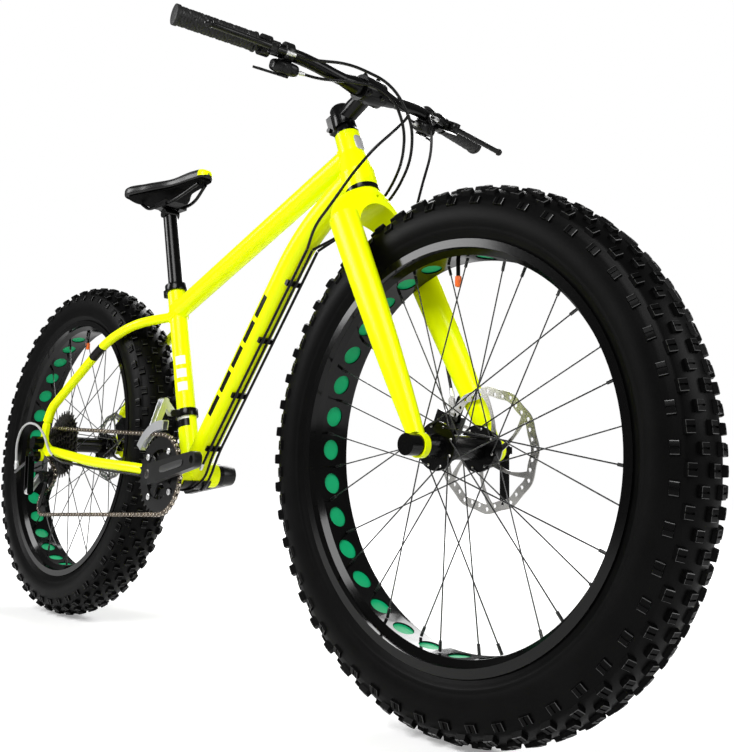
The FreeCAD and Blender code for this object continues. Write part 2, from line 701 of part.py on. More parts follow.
def bracket_cups():
    cups = []
    for side in SIDES:
        face = BRACKET + LEFT * (side * BRACKET_SHELL_WIDTH / 2)
        outline = ((-BEARING_HEIGHT, SPINDLE_RADIUS + RUNNING_GAP),
                   (-BEARING_HEIGHT, BRACKET_SHELL_RADIUS - HEAD_TUBE_WALL),
                   (0, BRACKET_SHELL_RADIUS - HEAD_TUBE_WALL),
                   (0, CUP_RADIUS),
                   (CUP_WIDTH, CUP_RADIUS),
                   (CUP_WIDTH, SPINDLE_RADIUS + RUNNING_GAP))
        cups.append(lathe(outline, face, LEFT * side))
    return cups


def seat_clamp():
    """Split collar at the top of the seat tube, with its bolt behind."""
    low = SEAT_TUBE_LENGTH - COLLAR_HEIGHT
    outer = SEAT_TUBE_RADIUS + COLLAR_THICKNESS
    ring = rod(on_seat(low), on_seat(SEAT_TUBE_LENGTH), outer)
    lug_middle = V(-outer - COLLAR_LUG_LENGTH / 2 + COLLAR_THICKNESS, 0, low + COLLAR_HEIGHT / 2)
    lug = placed(block(lug_middle, COLLAR_LUG_LENGTH + COLLAR_THICKNESS, COLLAR_LUG_WIDTH, COLLAR_HEIGHT),
                 BRACKET, SEAT_AHEAD, LEFT)
    slot = placed(block(lug_middle, COLLAR_LUG_LENGTH * 2, COLLAR_SLOT, COLLAR_HEIGHT + OVERRUN),
                  BRACKET, SEAT_AHEAD, LEFT)
    bolt_place = on_seat(low + COLLAR_HEIGHT / 2, -outer - COLLAR_LUG_LENGTH / 2)
    half = LEFT * (COLLAR_LUG_WIDTH / 2)
    hole = rod(bolt_place - half * 2, bolt_place + half * 2, SMALL_BOLT_RADIUS + RUNNING_GAP)
    bore = rod(on_seat(low - OVERRUN), on_seat(SEAT_TUBE_LENGTH + OVERRUN), SEAT_TUBE_RADIUS)
    collar = ring.fuse(lug).cut(bore).cut(slot).cut(hole)
    bolt = fused([rod(bolt_place - half, bolt_place + half, SMALL_BOLT_RADIUS),
                  rod(bolt_place + half, bolt_place + half + LEFT * SMALL_BOLT_HEAD_HEIGHT,
                      SMALL_BOLT_HEAD_RADIUS)])
    return [collar, bolt]


def ellipse_ring(middle, long_axis, half_length, half_width):
    """Closed oval with one half length along long_axis and its half width to the side."""
    longer = long_axis * half_length
    shorter = LEFT * half_width
    if half_width > half_length:
        longer, shorter = shorter, longer
    return Part.Wire(Part.Ellipse(middle + longer, middle + shorter, middle).toShape())


def fork_crown():
    """Yoke that widens from the crown seat to both legs, with an arch over the tire."""
    neck = ellipse_ring(on_steerer(0, 0, -CROWN_NECK_DROP), STEER_AHEAD,
                        CROWN_NECK_HALF_LENGTH, CROWN_NECK_HALF_WIDTH)
    foot = ellipse_ring(on_steerer(0, 0, -CROWN_DROP), STEER_AHEAD, CROWN_HALF_LENGTH, CROWN_HALF_WIDTH)
    top = ellipse_ring(on_steerer(0, 0, 0), STEER_AHEAD, CROWN_TOP_RADIUS - OVERRUN / 2, CROWN_TOP_RADIUS)
    yoke = Part.makeLoft([top, neck, foot], True)
    arch_top = -CROWN_ARCH_DROP - CROWN_ARCH_RADIUS
    reach = CROWN_HALF_WIDTH
    arch = rod(on_steerer(-reach, 0, arch_top), on_steerer(reach, 0, arch_top), CROWN_ARCH_RADIUS)
    below = placed(block(V(0, 0, arch_top - reach / 2), reach * 2, CROWN_ARCH_RADIUS * 2, reach),
                   CROWN, STEER_AHEAD, LEFT)
    hole = rod(on_steerer(-reach, 0, -CROWN_NECK_DROP), on_steerer(reach, 0, -CROWN_NECK_DROP),
               MUDGUARD_HOLE_RADIUS)
    return yoke.cut(arch).cut(below).cut(hole)


def fork_leg(side):
    """Oval leg that narrows towards the eye that holds the axle."""
    rings = []
    for share, half_length, half_width in zip(LEG_STATION_SHARES, LEG_HALF_LENGTHS, LEG_HALF_WIDTHS):
        drop = LEG_TOP_DROP + share * (FORK_LENGTH - LEG_FOOT_RISE - LEG_TOP_DROP)
        ahead = FORK_OFFSET * drop / FORK_LENGTH
        out = LEG_TOP_OUT + share * (LEG_FOOT_OUT - LEG_TOP_OUT)
        middle = on_steerer(ahead, side * out, -drop)
        rings.append(ellipse_ring(middle, STEER_AHEAD, half_length, half_width))
    leg = Part.makeLoft(rings, True)
    inner = FRONT_DROPOUT_FACE if side > 0 else -FRONT_DROPOUT_FACE - FORK_EYE_THICKNESS
    eye = FRONT_AXLE + LEFT * inner
    boss = rod(eye, eye + LEFT * FORK_EYE_THICKNESS, FORK_EYE_RADIUS)
    hub_room = rod(FRONT_AXLE - LEFT * FRONT_DROPOUT_FACE, FRONT_AXLE + LEFT * FRONT_DROPOUT_FACE,
                   FLANGE_RADIUS + OVERRUN)
    hole = rod(eye - LEFT * OVERRUN * 4, eye + LEFT * (FORK_EYE_THICKNESS + OVERRUN * 4),
               AXLE_RADIUS + RUNNING_GAP)
    nut_face = LEFT * (side * (FRONT_DROPOUT_FACE + FORK_EYE_THICKNESS))
    nut_room = rod(FRONT_AXLE + nut_face, FRONT_AXLE + nut_face * 2, FORK_EYE_RADIUS)
    return leg.cut(hub_room).fuse(boss).cut(hole).cut(nut_room).removeSplitter()


def fork():
    steerer_top = on_steerer(0, 0, STEM_BASE_HEIGHT + STEM_CLAMP_HEIGHT)
    steerer = rod(on_steerer(0, 0, -CROWN_NECK_DROP / 4), steerer_top, STEERER_RADIUS)
    bore = rod(on_steerer(0, 0, HEAD_TOP_HEIGHT / 2), on_steerer(0, 0, HEAD_TOP_HEIGHT * 2),
               STEERER_RADIUS - TUBE_WALL)
    body = fused([fork_crown(), fork_leg(-1), fork_leg(1), steerer])
    return [body.cut(bore)]


def headset_spacers():
    """Cone spacer under the stem, and the top cap with its bolt."""
    base = HEAD_TOP_HEIGHT + UPPER_COVER_HEIGHT
    cap_base = STEM_BASE_HEIGHT + STEM_CLAMP_HEIGHT
    outline = ((SEAT_GAP, STEERER_RADIUS + RUNNING_GAP), (SEAT_GAP, SPACER_BASE_RADIUS),
               (SPACER_HEIGHT, STEM_CLAMP_RADIUS - HEAD_TUBE_WALL),
               (SPACER_HEIGHT, STEERER_RADIUS + RUNNING_GAP))
    spacer = lathe(outline, on_steerer(0, 0, base), STEER_AXIS)
    cap = rod(on_steerer(0, 0, cap_base), on_steerer(0, 0, cap_base + TOP_CAP_HEIGHT), TOP_CAP_RADIUS)
    bolt = rod(on_steerer(0, 0, cap_base + TOP_CAP_HEIGHT),
               on_steerer(0, 0, cap_base + TOP_CAP_HEIGHT + SMALL_BOLT_HEAD_HEIGHT), CAP_BOLT_RADIUS)
    return [spacer, cap, bolt]


def bar_seat():
    """Ring that grips the middle of the handlebar, before it is split."""
    half = LEFT * (BAR_SEAT_WIDTH / 2)
    ring = rod(BAR_MIDDLE - half, BAR_MIDDLE + half, BAR_SEAT_RADIUS)
    return ring.cut(rod(BAR_MIDDLE - half * 2, BAR_MIDDLE + half * 2, BAR_CLAMP_RADIUS + RUNNING_GAP))


def faceplate_bolt_places():
    places = []
    for up in SIDES:
        for out in SIDES:
            places.append(BAR_MIDDLE + STEER_AXIS * (up * FACEPLATE_BOLT_SPACING_UP / 2)
                          + LEFT * (out * FACEPLATE_BOLT_SPACING_SIDE / 2))
    return places


def faceplate_front():
    """Room ahead of the split between stem and faceplate."""
    size = BAR_SEAT_RADIUS * 2
    return placed(block(V(FACEPLATE_GAP + size / 2, 0, 0), size, size * 2, size * 2),
                  BAR_MIDDLE, STEER_AHEAD, LEFT)


def stem():
    """Steerer clamp, neck and rear half of the bar seat, with the two pinch bolts."""
    low = on_steerer(0, 0, STEM_BASE_HEIGHT)
    high = on_steerer(0, 0, STEM_BASE_HEIGHT + STEM_CLAMP_HEIGHT)
    body = rod(low, high, STEM_CLAMP_RADIUS)
    body = body.fuse(rod(on_steerer(0, 0, STEM_MIDDLE_HEIGHT), BAR_MIDDLE, STEM_NECK_RADIUS))
    lug_ahead = -STEM_CLAMP_RADIUS - STEM_LUG_LENGTH / 4
    lug = block(V(lug_ahead, 0, STEM_MIDDLE_HEIGHT), STEM_LUG_LENGTH, STEM_LUG_WIDTH, STEM_LUG_HEIGHT)
    body = body.fuse(placed(lug, CROWN, STEER_AHEAD, LEFT)).fuse(bar_seat())
    body = body.cut(rod(on_steerer(0, 0, 0), high * 2 - low, STEERER_RADIUS + RUNNING_GAP))
    half = LEFT * BAR_SEAT_WIDTH
    body = body.cut(rod(BAR_MIDDLE - half, BAR_MIDDLE + half, BAR_CLAMP_RADIUS + RUNNING_GAP))
    body = body.cut(faceplate_front())
    for place in faceplate_bolt_places():
        body = body.cut(rod(place - STEER_AHEAD * BAR_SEAT_RADIUS, place + STEER_AHEAD * BAR_SEAT_RADIUS,
                            SMALL_BOLT_RADIUS + RUNNING_GAP))
    bolts = []
    for step in SIDES:
        up = STEM_MIDDLE_HEIGHT + step * STEM_BOLT_SPACING / 2
        place = on_steerer(lug_ahead - STEM_LUG_LENGTH / 4, 0, up)
        reach = LEFT * (STEM_LUG_WIDTH / 2)
        body = body.cut(rod(place - reach * 2, place + reach * 2, SMALL_BOLT_RADIUS + RUNNING_GAP))
        shank = rod(place - reach, place + reach, SMALL_BOLT_RADIUS)
        head = rod(place + reach * step, place + reach * step + LEFT * (step * SMALL_BOLT_HEAD_HEIGHT),
                   SMALL_BOLT_HEAD_RADIUS)
        bolts.append(fused([shank, head]))
    return [largest(body)] + bolts


def stem_faceplate():
    plate = bar_seat().common(faceplate_front())
    bolts = []
    front = STEER_AHEAD * (BAR_SEAT_RADIUS / 2)
    for place in faceplate_bolt_places():
        plate = plate.cut(rod(place, place + front * 4, SMALL_BOLT_RADIUS + RUNNING_GAP))
        seat = rod(place + front, place + front * 4, SMALL_BOLT_HEAD_RADIUS + RUNNING_GAP)
        plate = plate.cut(seat)
        shank = rod(place - front, place + front, SMALL_BOLT_RADIUS)
        face = place + front
        head = rod(face, face + STEER_AHEAD * SMALL_BOLT_HEAD_HEIGHT, SMALL_BOLT_HEAD_RADIUS)
        bolts.append(fused([shank, head]))
    return [plate] + bolts


def bar_points(side):
    """Corners of one half of the handlebar, from its middle to its end."""
    knee = V(0, side * BAR_KNEE_OUT, 0)
    bend = V(-BAR_BEND_SWEEP, side * BAR_BEND_OUT, BAR_BEND_RISE)
    end = V(-BAR_SWEEP, side * BAR_HALF, BAR_RISE)
    return [BAR_MIDDLE, BAR_MIDDLE + knee, BAR_MIDDLE + bend, BAR_MIDDLE + end]


def handlebar():
    right = bar_points(-1)[1:]
    left = bar_points(1)[1:]
    bar = bent_rod(right[::-1] + left, BAR_GRIP_RADIUS)
    outline = ((-BAR_TAPER_HALF, 0), (-BAR_TAPER_HALF, BAR_GRIP_RADIUS),
               (-BAR_CLAMP_HALF, BAR_CLAMP_RADIUS), (BAR_CLAMP_HALF, BAR_CLAMP_RADIUS),
               (BAR_TAPER_HALF, BAR_GRIP_RADIUS), (BAR_TAPER_HALF, 0))
    bore = bent_rod(right[::-1] + left, BAR_GRIP_RADIUS - BAR_WALL)
    return [fused([bar, lathe(outline, BAR_MIDDLE, LEFT)]).cut(bore)]


def bar_frame(side, place):
    """Origin on the bar axis in from its end, the way out along it, and the way the levers reach."""
    points = bar_points(side)
    outward = points[-1] - points[-2]
    outward.normalize()
    droop = math.radians(LEVER_DROOP_DEG)
    reach = V(math.cos(droop), 0, -math.sin(droop))
    reach = reach - outward * reach.dot(outward)
    reach.normalize()
    return points[-1] - outward * place, outward, reach


def grips():
    pieces = []
    for side in SIDES:
        origin, outward = bar_frame(side, 0)[:2]
        inner = BAR_GRIP_RADIUS + RUNNING_GAP
        outline = ((-GRIP_LENGTH, inner), (-GRIP_LENGTH, GRIP_FLANGE_RADIUS),
                   (-GRIP_LENGTH + GRIP_FLANGE_WIDTH, GRIP_FLANGE_RADIUS),
                   (-GRIP_LENGTH + GRIP_FLANGE_WIDTH, GRIP_RADIUS), (-GRIP_FLANGE_WIDTH, GRIP_RADIUS),
                   (-GRIP_FLANGE_WIDTH, GRIP_FLANGE_RADIUS), (GRIP_PLUG_THICKNESS, GRIP_FLANGE_RADIUS),
                   (GRIP_PLUG_THICKNESS, 0), (RUNNING_GAP, 0), (RUNNING_GAP, inner))
        pieces.append(lathe(outline, origin, outward))
    return pieces


def brake_lever_mount(side):
    """Bar clamp with a forked body that carries the lever pivot, and the cable barrel."""
    half = LEVER_CLAMP_WIDTH / 2
    ring = rod(V(-half, 0, 0), V(half, 0, 0), LEVER_CLAMP_RADIUS)
    ear_height = LEVER_BOSS_HEIGHT / 2 + SEAT_GAP + LEVER_EAR_THICKNESS
    body = block(V(0, LEVER_PIVOT_REACH / 2, 0), LEVER_CLAMP_WIDTH, LEVER_PIVOT_REACH, ear_height * 2)
    body = body.fuse(rod(V(0, LEVER_PIVOT_REACH, -ear_height), V(0, LEVER_PIVOT_REACH, ear_height),
                         LEVER_BOSS_RADIUS))
    barrel_start = V(-half, LEVER_PIVOT_REACH / 2, 0)
    barrel = rod(barrel_start, barrel_start - AHEAD * LEVER_BARREL_LENGTH, LEVER_BARREL_RADIUS)
    solid = ring.fuse([body, barrel])
    room_start = LEVER_PIVOT_REACH - LEVER_BOSS_RADIUS - SEAT_GAP * 4
    room_height = LEVER_BOSS_HEIGHT + SEAT_GAP * 2
    room = block(V(0, room_start + LEVER_BODY_LENGTH / 2, 0),
                 LEVER_BODY_LENGTH * 2, LEVER_BODY_LENGTH, room_height)
    bore = rod(V(-half * 2, 0, 0), V(half * 2, 0, 0), BAR_GRIP_RADIUS + RUNNING_GAP)
    pin = rod(V(0, LEVER_PIVOT_REACH, -ear_height), V(0, LEVER_PIVOT_REACH, ear_height), LEVER_PIVOT_RADIUS)
    origin, outward, reach = bar_frame(side, LEVER_CLAMP_PLACE)
    solid = largest(solid.cut(room).cut(bore)).fuse(pin).removeSplitter()
    return placed(solid, origin, outward, reach)


def brake_lever(side):
    """Blade that sweeps out from its boss in front of the grip."""
    half = LEVER_BOSS_HEIGHT / 2
    pivot = V(0, LEVER_PIVOT_REACH, 0)
    boss = rod(pivot - UP * half, pivot + UP * half, LEVER_BOSS_RADIUS)
    points = [pivot, pivot + V(LEVER_BLADE_WAIST, LEVER_BLADE_WAIST_FLARE, 0),
              pivot + V(LEVER_BLADE_LENGTH, LEVER_BLADE_FLARE, 0)]
    blade = bent_rod(points, LEVER_BLADE_RADIUS)
    tip = Part.makeSphere(LEVER_BALL_RADIUS, points[-1])
    bore = rod(pivot - UP * half * 2, pivot + UP * half * 2, LEVER_PIVOT_RADIUS + RUNNING_GAP)
    origin, outward, reach = bar_frame(side, LEVER_CLAMP_PLACE)
    return placed(fused([boss, blade, tip]).cut(bore), origin, outward, reach)


def shifter_housing(side):
    """Box under the bar on its own clamp ring, with the pivot that the paddles turn on."""
    half = LEVER_CLAMP_WIDTH / 2
    ring = rod(V(-half, 0, 0), V(half, 0, 0), LEVER_CLAMP_RADIUS)
    drop = UP * (side * SHIFTER_DROP)
    case_middle = V(0, SHIFTER_REACH, 0) + drop
    case = block(case_middle, SHIFTER_LENGTH, SHIFTER_DEPTH, SHIFTER_HEIGHT)
    edges = [edge for edge in case.Edges if abs(edge.tangentAt(0).z) > UPRIGHT_SHARE]
    case = case.makeFillet(SHIFTER_DEPTH / 4, edges)
    bore = rod(V(-half * 2, 0, 0), V(half * 2, 0, 0), BAR_GRIP_RADIUS + RUNNING_GAP)
    down = UP * side
    face = case_middle + down * (SHIFTER_HEIGHT / 2)
    pin_length = SHIFTER_PADDLE_THICKNESS + SEAT_GAP * 2
    pin = rod(face - down * OVERRUN, face + down * pin_length, SHIFTER_PIVOT_RADIUS)
    origin, outward, reach = bar_frame(side, SHIFTER_PLACE)
    return placed(ring.fuse(case).cut(bore).fuse(pin).removeSplitter(), origin, outward, reach)


def shift_lever(side):
    """Hub under the shifter with two thumb paddles, which turn together here."""
    down = UP * side
    face = V(0, SHIFTER_REACH, 0) + down * (SHIFTER_DROP + SHIFTER_HEIGHT / 2 + SEAT_GAP)
    depth = down * SHIFTER_PADDLE_THICKNESS
    hub = rod(face, face + depth, SHIFTER_HUB_RADIUS)
    pieces = [hub]
    for step in SIDES:
        tip = face + V(SHIFTER_PADDLE_LENGTH, step * SHIFTER_PADDLE_STEP / 2 - SHIFTER_PADDLE_STEP, 0)
        across = (tip - face).cross(UP)
        across.normalize()
        half = across * (SHIFTER_PADDLE_WIDTH / 2)
        neck = half * SHIFTER_PADDLE_NECK_SHARE
        pieces.append(prism([face + neck, tip + half, tip - half, face - neck], depth))
    bore = rod(face - depth, face + depth * 2, SHIFTER_PIVOT_RADIUS + RUNNING_GAP)
    origin, outward, reach = bar_frame(side, SHIFTER_PLACE)
    return placed(fused(pieces).cut(bore), origin, outward, reach)


def turned_about(axle, wires):
    """Ring-shaped solid from one closed wire, or with further wires as hollows, about the axle."""
    return Part.Face(wires).revolve(axle, LEFT, TURN_DEG)


def in_section(axle, out, radius):
    """Place in the wheel's cross-section above the axle."""
    return axle + LEFT * out + UP * radius


def tire_carcass(axle):
    """Casing with bead feet, bulged walls and a rounded crown, open towards the rim."""
    crown = WHEEL_RADIUS - TREAD_HEIGHT
    bead_out = RIM_HALF_WIDTH - RIM_WALL - SEAT_GAP
    flange_top = RIM_FLANGE_RADIUS + SEAT_GAP * 2

    def arc(inset, side):
        start = in_section(axle, side * (bead_out - inset), flange_top)
        widest = in_section(axle, side * (TIRE_HALF_WIDTH - inset), TIRE_WIDEST_RADIUS)
        shoulder = in_section(axle, side * (TIRE_SHOULDER_HALF - inset), TIRE_SHOULDER_RADIUS - inset)
        return start, widest, shoulder

    def shell(inset):
        right = arc(inset, -1)
        left = arc(inset, 1)
        top = in_section(axle, 0, crown - inset)
        return [Part.Arc(*right).toShape(), Part.Arc(right[-1], top, left[-1]).toShape(),
                Part.Arc(*left[::-1]).toShape()]

    edges = shell(0) + shell(TIRE_WALL)
    for side in SIDES:
        outer = in_section(axle, side * bead_out, flange_top)
        foot = in_section(axle, side * bead_out, BEAD_RADIUS)
        toe = in_section(axle, side * (bead_out - BEAD_WIDTH), BEAD_RADIUS)
        inner = in_section(axle, side * (bead_out - TIRE_WALL), flange_top)
        edges += Part.makePolygon([outer, foot, toe, inner]).Edges
    wire = Part.Wire(Part.sortEdges(edges)[0])
    return turned_about(axle, [wire])


def crown_radius_at(out):
    """Radius of the round crown at a distance out from the middle of the tread."""
    crown = WHEEL_RADIUS - TREAD_HEIGHT
    fall = crown - TIRE_SHOULDER_RADIUS
    bow = (TIRE_SHOULDER_HALF ** 2 + fall ** 2) / (2 * fall)
    return crown - bow + math.sqrt(bow ** 2 - out ** 2)


def tread_knobs(axle):
    """Rows of blocks round the crown; every second row is moved on by half a step."""
    knobs = []
    for row, share in enumerate(KNOB_ROW_SHARES):
        out = share * TIRE_SHOULDER_HALF
        top = crown_radius_at(out) + TREAD_HEIGHT
        lean = math.degrees(math.asin(out / (TIRE_SHOULDER_RADIUS - TIRE_WIDEST_RADIUS + TIRE_HALF_WIDTH)))
        for step in range(KNOB_COUNT):
            angle = (step + row % 2 / 2) * TURN_DEG / KNOB_COUNT
            middle = V(0, out, top - (TREAD_HEIGHT + KNOB_SINK) / 2)
            knob = block(V(0, 0, 0), KNOB_LENGTH, KNOB_WIDTH, TREAD_HEIGHT + KNOB_SINK)
            knob.rotate(V(), AHEAD, -lean)
            knob.translate(middle)
            knob.rotate(V(), LEFT, angle)
            knob.translate(axle)
            knobs.append(knob)
    return knobs


def tire(axle):
    return [tire_carcass(axle).fuse(tread_knobs(axle))]


def window_angles(first_deg):
    """Angles of the round rim windows; the first place holds the valve instead."""
    return [first_deg + step * TURN_DEG / SPOKE_COUNT for step in range(1, SPOKE_COUNT)]


def rim_drill(axle, degrees, radius):
    way = direction(degrees)
    return rod(axle + way * (RIM_BED_RADIUS - OVERRUN), axle + way * RIM_FLANGE_RADIUS, radius)


def rim(axle, valve_deg):
    """Wide single-wall rim with hooked flanges, round windows and a valve hole."""
    half = RIM_HALF_WIDTH
    inside = half - RIM_WALL
    slope = inside - BEAD_WIDTH - OVERRUN / 2
    low_seat = RIM_SEAT_RADIUS - RIM_WALL
    high_bed = RIM_BED_RADIUS + RIM_WALL
    outline = ((-half, RIM_FLANGE_RADIUS), (-half, low_seat), (-slope, low_seat),
               (-RIM_BED_HALF, RIM_BED_RADIUS), (RIM_BED_HALF, RIM_BED_RADIUS), (slope, low_seat),
               (half, low_seat), (half, RIM_FLANGE_RADIUS), (inside, RIM_FLANGE_RADIUS),
               (inside, RIM_SEAT_RADIUS), (slope, RIM_SEAT_RADIUS), (RIM_BED_HALF, high_bed),
               (-RIM_BED_HALF, high_bed), (-slope, RIM_SEAT_RADIUS), (-inside, RIM_SEAT_RADIUS),
               (-inside, RIM_FLANGE_RADIUS))
    hoop = lathe(outline, axle, LEFT)
    cuts = [rim_drill(axle, degrees, WINDOW_RADIUS) for degrees in window_angles(valve_deg)]
    cuts.append(rim_drill(axle, valve_deg, VALVE_HOLE_RADIUS))
    return [hoop.cut(cuts)]


def rim_strip(axle, valve_deg):
    inner = RIM_BED_RADIUS + RIM_WALL + RUNNING_GAP
    outline = ((-STRIP_HALF_WIDTH, inner), (STRIP_HALF_WIDTH, inner),
               (STRIP_HALF_WIDTH, inner + STRIP_THICKNESS), (-STRIP_HALF_WIDTH, inner + STRIP_THICKNESS))
    return [lathe(outline, axle, LEFT).cut(rim_drill(axle, valve_deg, VALVE_HOLE_RADIUS))]


def inner_tube(axle, valve_deg):
    """Hollow air tube that fills the tire, with its valve through the rim and the cap on it."""
    low = RIM_FLANGE_RADIUS + TIRE_WALL
    high = WHEEL_RADIUS - TREAD_HEIGHT - TIRE_WALL - TUBE_CLEARANCE
    middle = in_section(axle, 0, (low + high) / 2)
    rings = []
    for inset in (0, TUBE_SKIN):
        half_width = RIM_HALF_WIDTH - BEAD_WIDTH - TUBE_CLEARANCE - inset
        rings.append(ellipse_ring(middle, UP, (high - low) / 2 - inset, half_width))
    skin = turned_about(axle, [rings[0]]).cut(turned_about(axle, [rings[1]]))
    way = direction(valve_deg)
    root = axle + way * low
    end = axle + way * (RIM_BED_RADIUS - VALVE_LENGTH)
    stem_rod = rod(root, end, VALVE_RADIUS).cut(turned_about(axle, [rings[0]]))
    cap = rod(end, end + way * VALVE_CAP_LENGTH, VALVE_CAP_RADIUS)
    return [skin, stem_rod.cut(cap), cap]


def spokes(axle, window_deg, flange_right, flange_left):
    """Crossed spokes with nipples; each lies against one face of its flange."""
    pieces = []
    step_deg = TURN_DEG / SPOKE_COUNT
    for index in range(SPOKE_COUNT):
        side = -1 if index % 2 else 1
        flange = flange_left if side > 0 else flange_right
        trailing = 1 if index // 2 % 2 else -1
        rim_deg = window_deg + (index + 0.5) * step_deg
        hub_deg = rim_deg + trailing * SPOKE_CROSSINGS * step_deg * 2
        lean = max(trailing, 0) * FLANGE_EDGE_RUN * (flange - SPOKE_RIM_OFFSET) / RIM_BED_RADIUS
        beside = trailing * (FLANGE_THICKNESS / 2 + SPOKE_RADIUS + RUNNING_GAP) + lean
        start = axle + direction(hub_deg) * SPOKE_CIRCLE_RADIUS + LEFT * (side * (flange + beside))
        end = axle + direction(rim_deg) * (RIM_BED_RADIUS - SEAT_GAP) + LEFT * (side * SPOKE_RIM_OFFSET)
        along = end - start
        along.normalize()
        seat = end - along * (SEAT_GAP * 4)
        wire = rod(start, seat, SPOKE_RADIUS)
        nipple = rod(seat - along * NIPPLE_LENGTH, seat, NIPPLE_RADIUS)
        pieces.append(fused([wire, nipple]))
    return pieces


def rotor_end(flange, seat, end):
    """Outline of a hub's left half: spoke flange, rotor seat with its boss, and end."""
    half = FLANGE_THICKNESS / 2
    return ((flange - half, HUB_BARREL_RADIUS), (flange - half, FLANGE_RADIUS),
            (flange + half, FLANGE_RADIUS), (flange + half, HUB_BARREL_RADIUS),
            (seat - HUB_END_RADIUS, ROTOR_HUB_RADIUS), (seat, ROTOR_HUB_RADIUS),
            (seat, ROTOR_BOSS_RADIUS), (seat + ROTOR_THICKNESS, ROTOR_BOSS_RADIUS),
            (seat + ROTOR_THICKNESS, HUB_END_RADIUS), (end, HUB_END_RADIUS))


def front_hub():
    """Shell with two spoke flanges and the rotor seat on the left."""
    end = FRONT_DROPOUT_FACE - SEAT_GAP
    seat = ROTOR_FRONT_OUT - ROTOR_THICKNESS / 2
    half = FLANGE_THICKNESS / 2
    bore = AXLE_RADIUS + RUNNING_GAP
    right = -FRONT_FLANGE_RIGHT
    outline = ((-end, bore), (-end, HUB_END_RADIUS), (right - half, HUB_BARREL_RADIUS),
               (right - half, FLANGE_RADIUS), (right + half, FLANGE_RADIUS),
               (right + half, HUB_BARREL_RADIUS))
    outline += rotor_end(FRONT_FLANGE_LEFT, seat, end) + ((end, bore),)
    return [lathe(outline, FRONT_AXLE, LEFT)]


def rear_hub():
    """Shell with two spoke flanges, the rotor seat on the left and room for the freehub on the right."""
    end = REAR_DROPOUT_FACE - SEAT_GAP
    seat = ROTOR_REAR_OUT - ROTOR_THICKNESS / 2
    half = FLANGE_THICKNESS / 2
    bore = AXLE_RADIUS + RUNNING_GAP
    right = -REAR_FLANGE_RIGHT
    outline = ((right - half, bore), (right - half, FLANGE_RADIUS), (right + half, FLANGE_RADIUS),
               (right + half, HUB_BARREL_RADIUS))
    outline += rotor_end(REAR_FLANGE_LEFT, seat, end) + ((end, bore),)
    return [lathe(outline, REAR_AXLE, LEFT)]


def axle(middle, face, eye_thickness):
    """Through axle with a nut on the right and the lever's pin and ears on the left."""
    outer = face + eye_thickness
    rim_face = outer + SEAT_GAP
    head_face = rim_face + AXLE_HEAD_LENGTH
    outline = ((-outer - AXLE_NUT_LENGTH, 0), (-outer - AXLE_NUT_LENGTH, AXLE_NUT_RADIUS),
               (-rim_face, AXLE_NUT_RADIUS), (-rim_face, AXLE_RADIUS), (rim_face, AXLE_RADIUS),
               (rim_face, AXLE_HEAD_RADIUS), (head_face, AXLE_HEAD_RADIUS), (head_face, 0))
    body = lathe(outline, middle, LEFT)
    pivot = middle + LEFT * (outer + SKEWER_PIVOT_OUT)
    ear_ahead = SKEWER_BOSS_WIDTH / 2 + SEAT_GAP + SKEWER_EAR_THICKNESS / 2
    ear_reach = SKEWER_PIVOT_OUT - AXLE_HEAD_LENGTH + SKEWER_EAR_HALF_HEIGHT
    pieces = [body]
    for step in SIDES:
        ear_middle = middle + V(step * ear_ahead, head_face + ear_reach / 2 - SEAT_GAP, 0)
        pieces.append(block(ear_middle, SKEWER_EAR_THICKNESS, ear_reach, SKEWER_EAR_HALF_HEIGHT * 2))
    half = AHEAD * (ear_ahead + SKEWER_EAR_THICKNESS / 2)
    pieces.append(rod(pivot - half, pivot + half, SKEWER_PIN_RADIUS))
    return [fused(pieces)]


def skewer_lever(middle, face, eye_thickness):
    """Quick release lever that hangs closed along the leg and swings out about its cam pin."""
    pivot = middle + LEFT * (face + eye_thickness + SKEWER_PIVOT_OUT)
    half = AHEAD * (SKEWER_BOSS_WIDTH / 2)
    boss = rod(pivot - half, pivot + half, SKEWER_BOSS_RADIUS)
    arm_middle = pivot - UP * (SKEWER_LEVER_LENGTH / 2)
    arm = block(arm_middle, SKEWER_LEVER_WIDTH, SKEWER_LEVER_THICKNESS, SKEWER_LEVER_LENGTH)
    end = pivot - UP * SKEWER_LEVER_LENGTH
    tip = rod(end - LEFT * (SKEWER_LEVER_THICKNESS / 2), end + LEFT * (SKEWER_LEVER_THICKNESS / 2),
              SKEWER_LEVER_WIDTH / 2)
    bore = rod(pivot - half * 2, pivot + half * 2, SKEWER_PIN_RADIUS + RUNNING_GAP)
    return [fused([boss, arm, tip]).cut(bore)]


def rotor(middle, out, radius):
    """Drilled brake band on leaning arms, bolted to the hub."""
    face = middle + LEFT * (out - ROTOR_THICKNESS / 2)
    depth = LEFT * ROTOR_THICKNESS
    band = pipe(face, face + depth, radius, radius - ROTOR_BAND_WIDTH)
    centre = rod(face, face + depth, ROTOR_HUB_RADIUS)
    arms = []
    holes = [rod(face - depth, face + depth * 2, ROTOR_BOSS_RADIUS + RUNNING_GAP)]
    for index in range(ROTOR_ARM_COUNT):
        degrees = index * TURN_DEG / ROTOR_ARM_COUNT
        start = face + direction(degrees) * ROTOR_BOLT_CIRCLE_RADIUS
        end = face + direction(degrees + ROTOR_ARM_LEAN_DEG) * (radius - ROTOR_BAND_WIDTH / 2)
        arms.append(flat_bar(start, end, ROTOR_ARM_WIDTH, ROTOR_THICKNESS))
    for index in range(ROTOR_HOLE_COUNT):
        lane = ROTOR_BAND_WIDTH * (index % 2 + 1) / 3
        place = face + direction(index * TURN_DEG / ROTOR_HOLE_COUNT) * (radius - lane)
        holes.append(rod(place - depth, place + depth * 2, ROTOR_HOLE_RADIUS))
    return [fused([centre, band] + arms).cut(holes)]


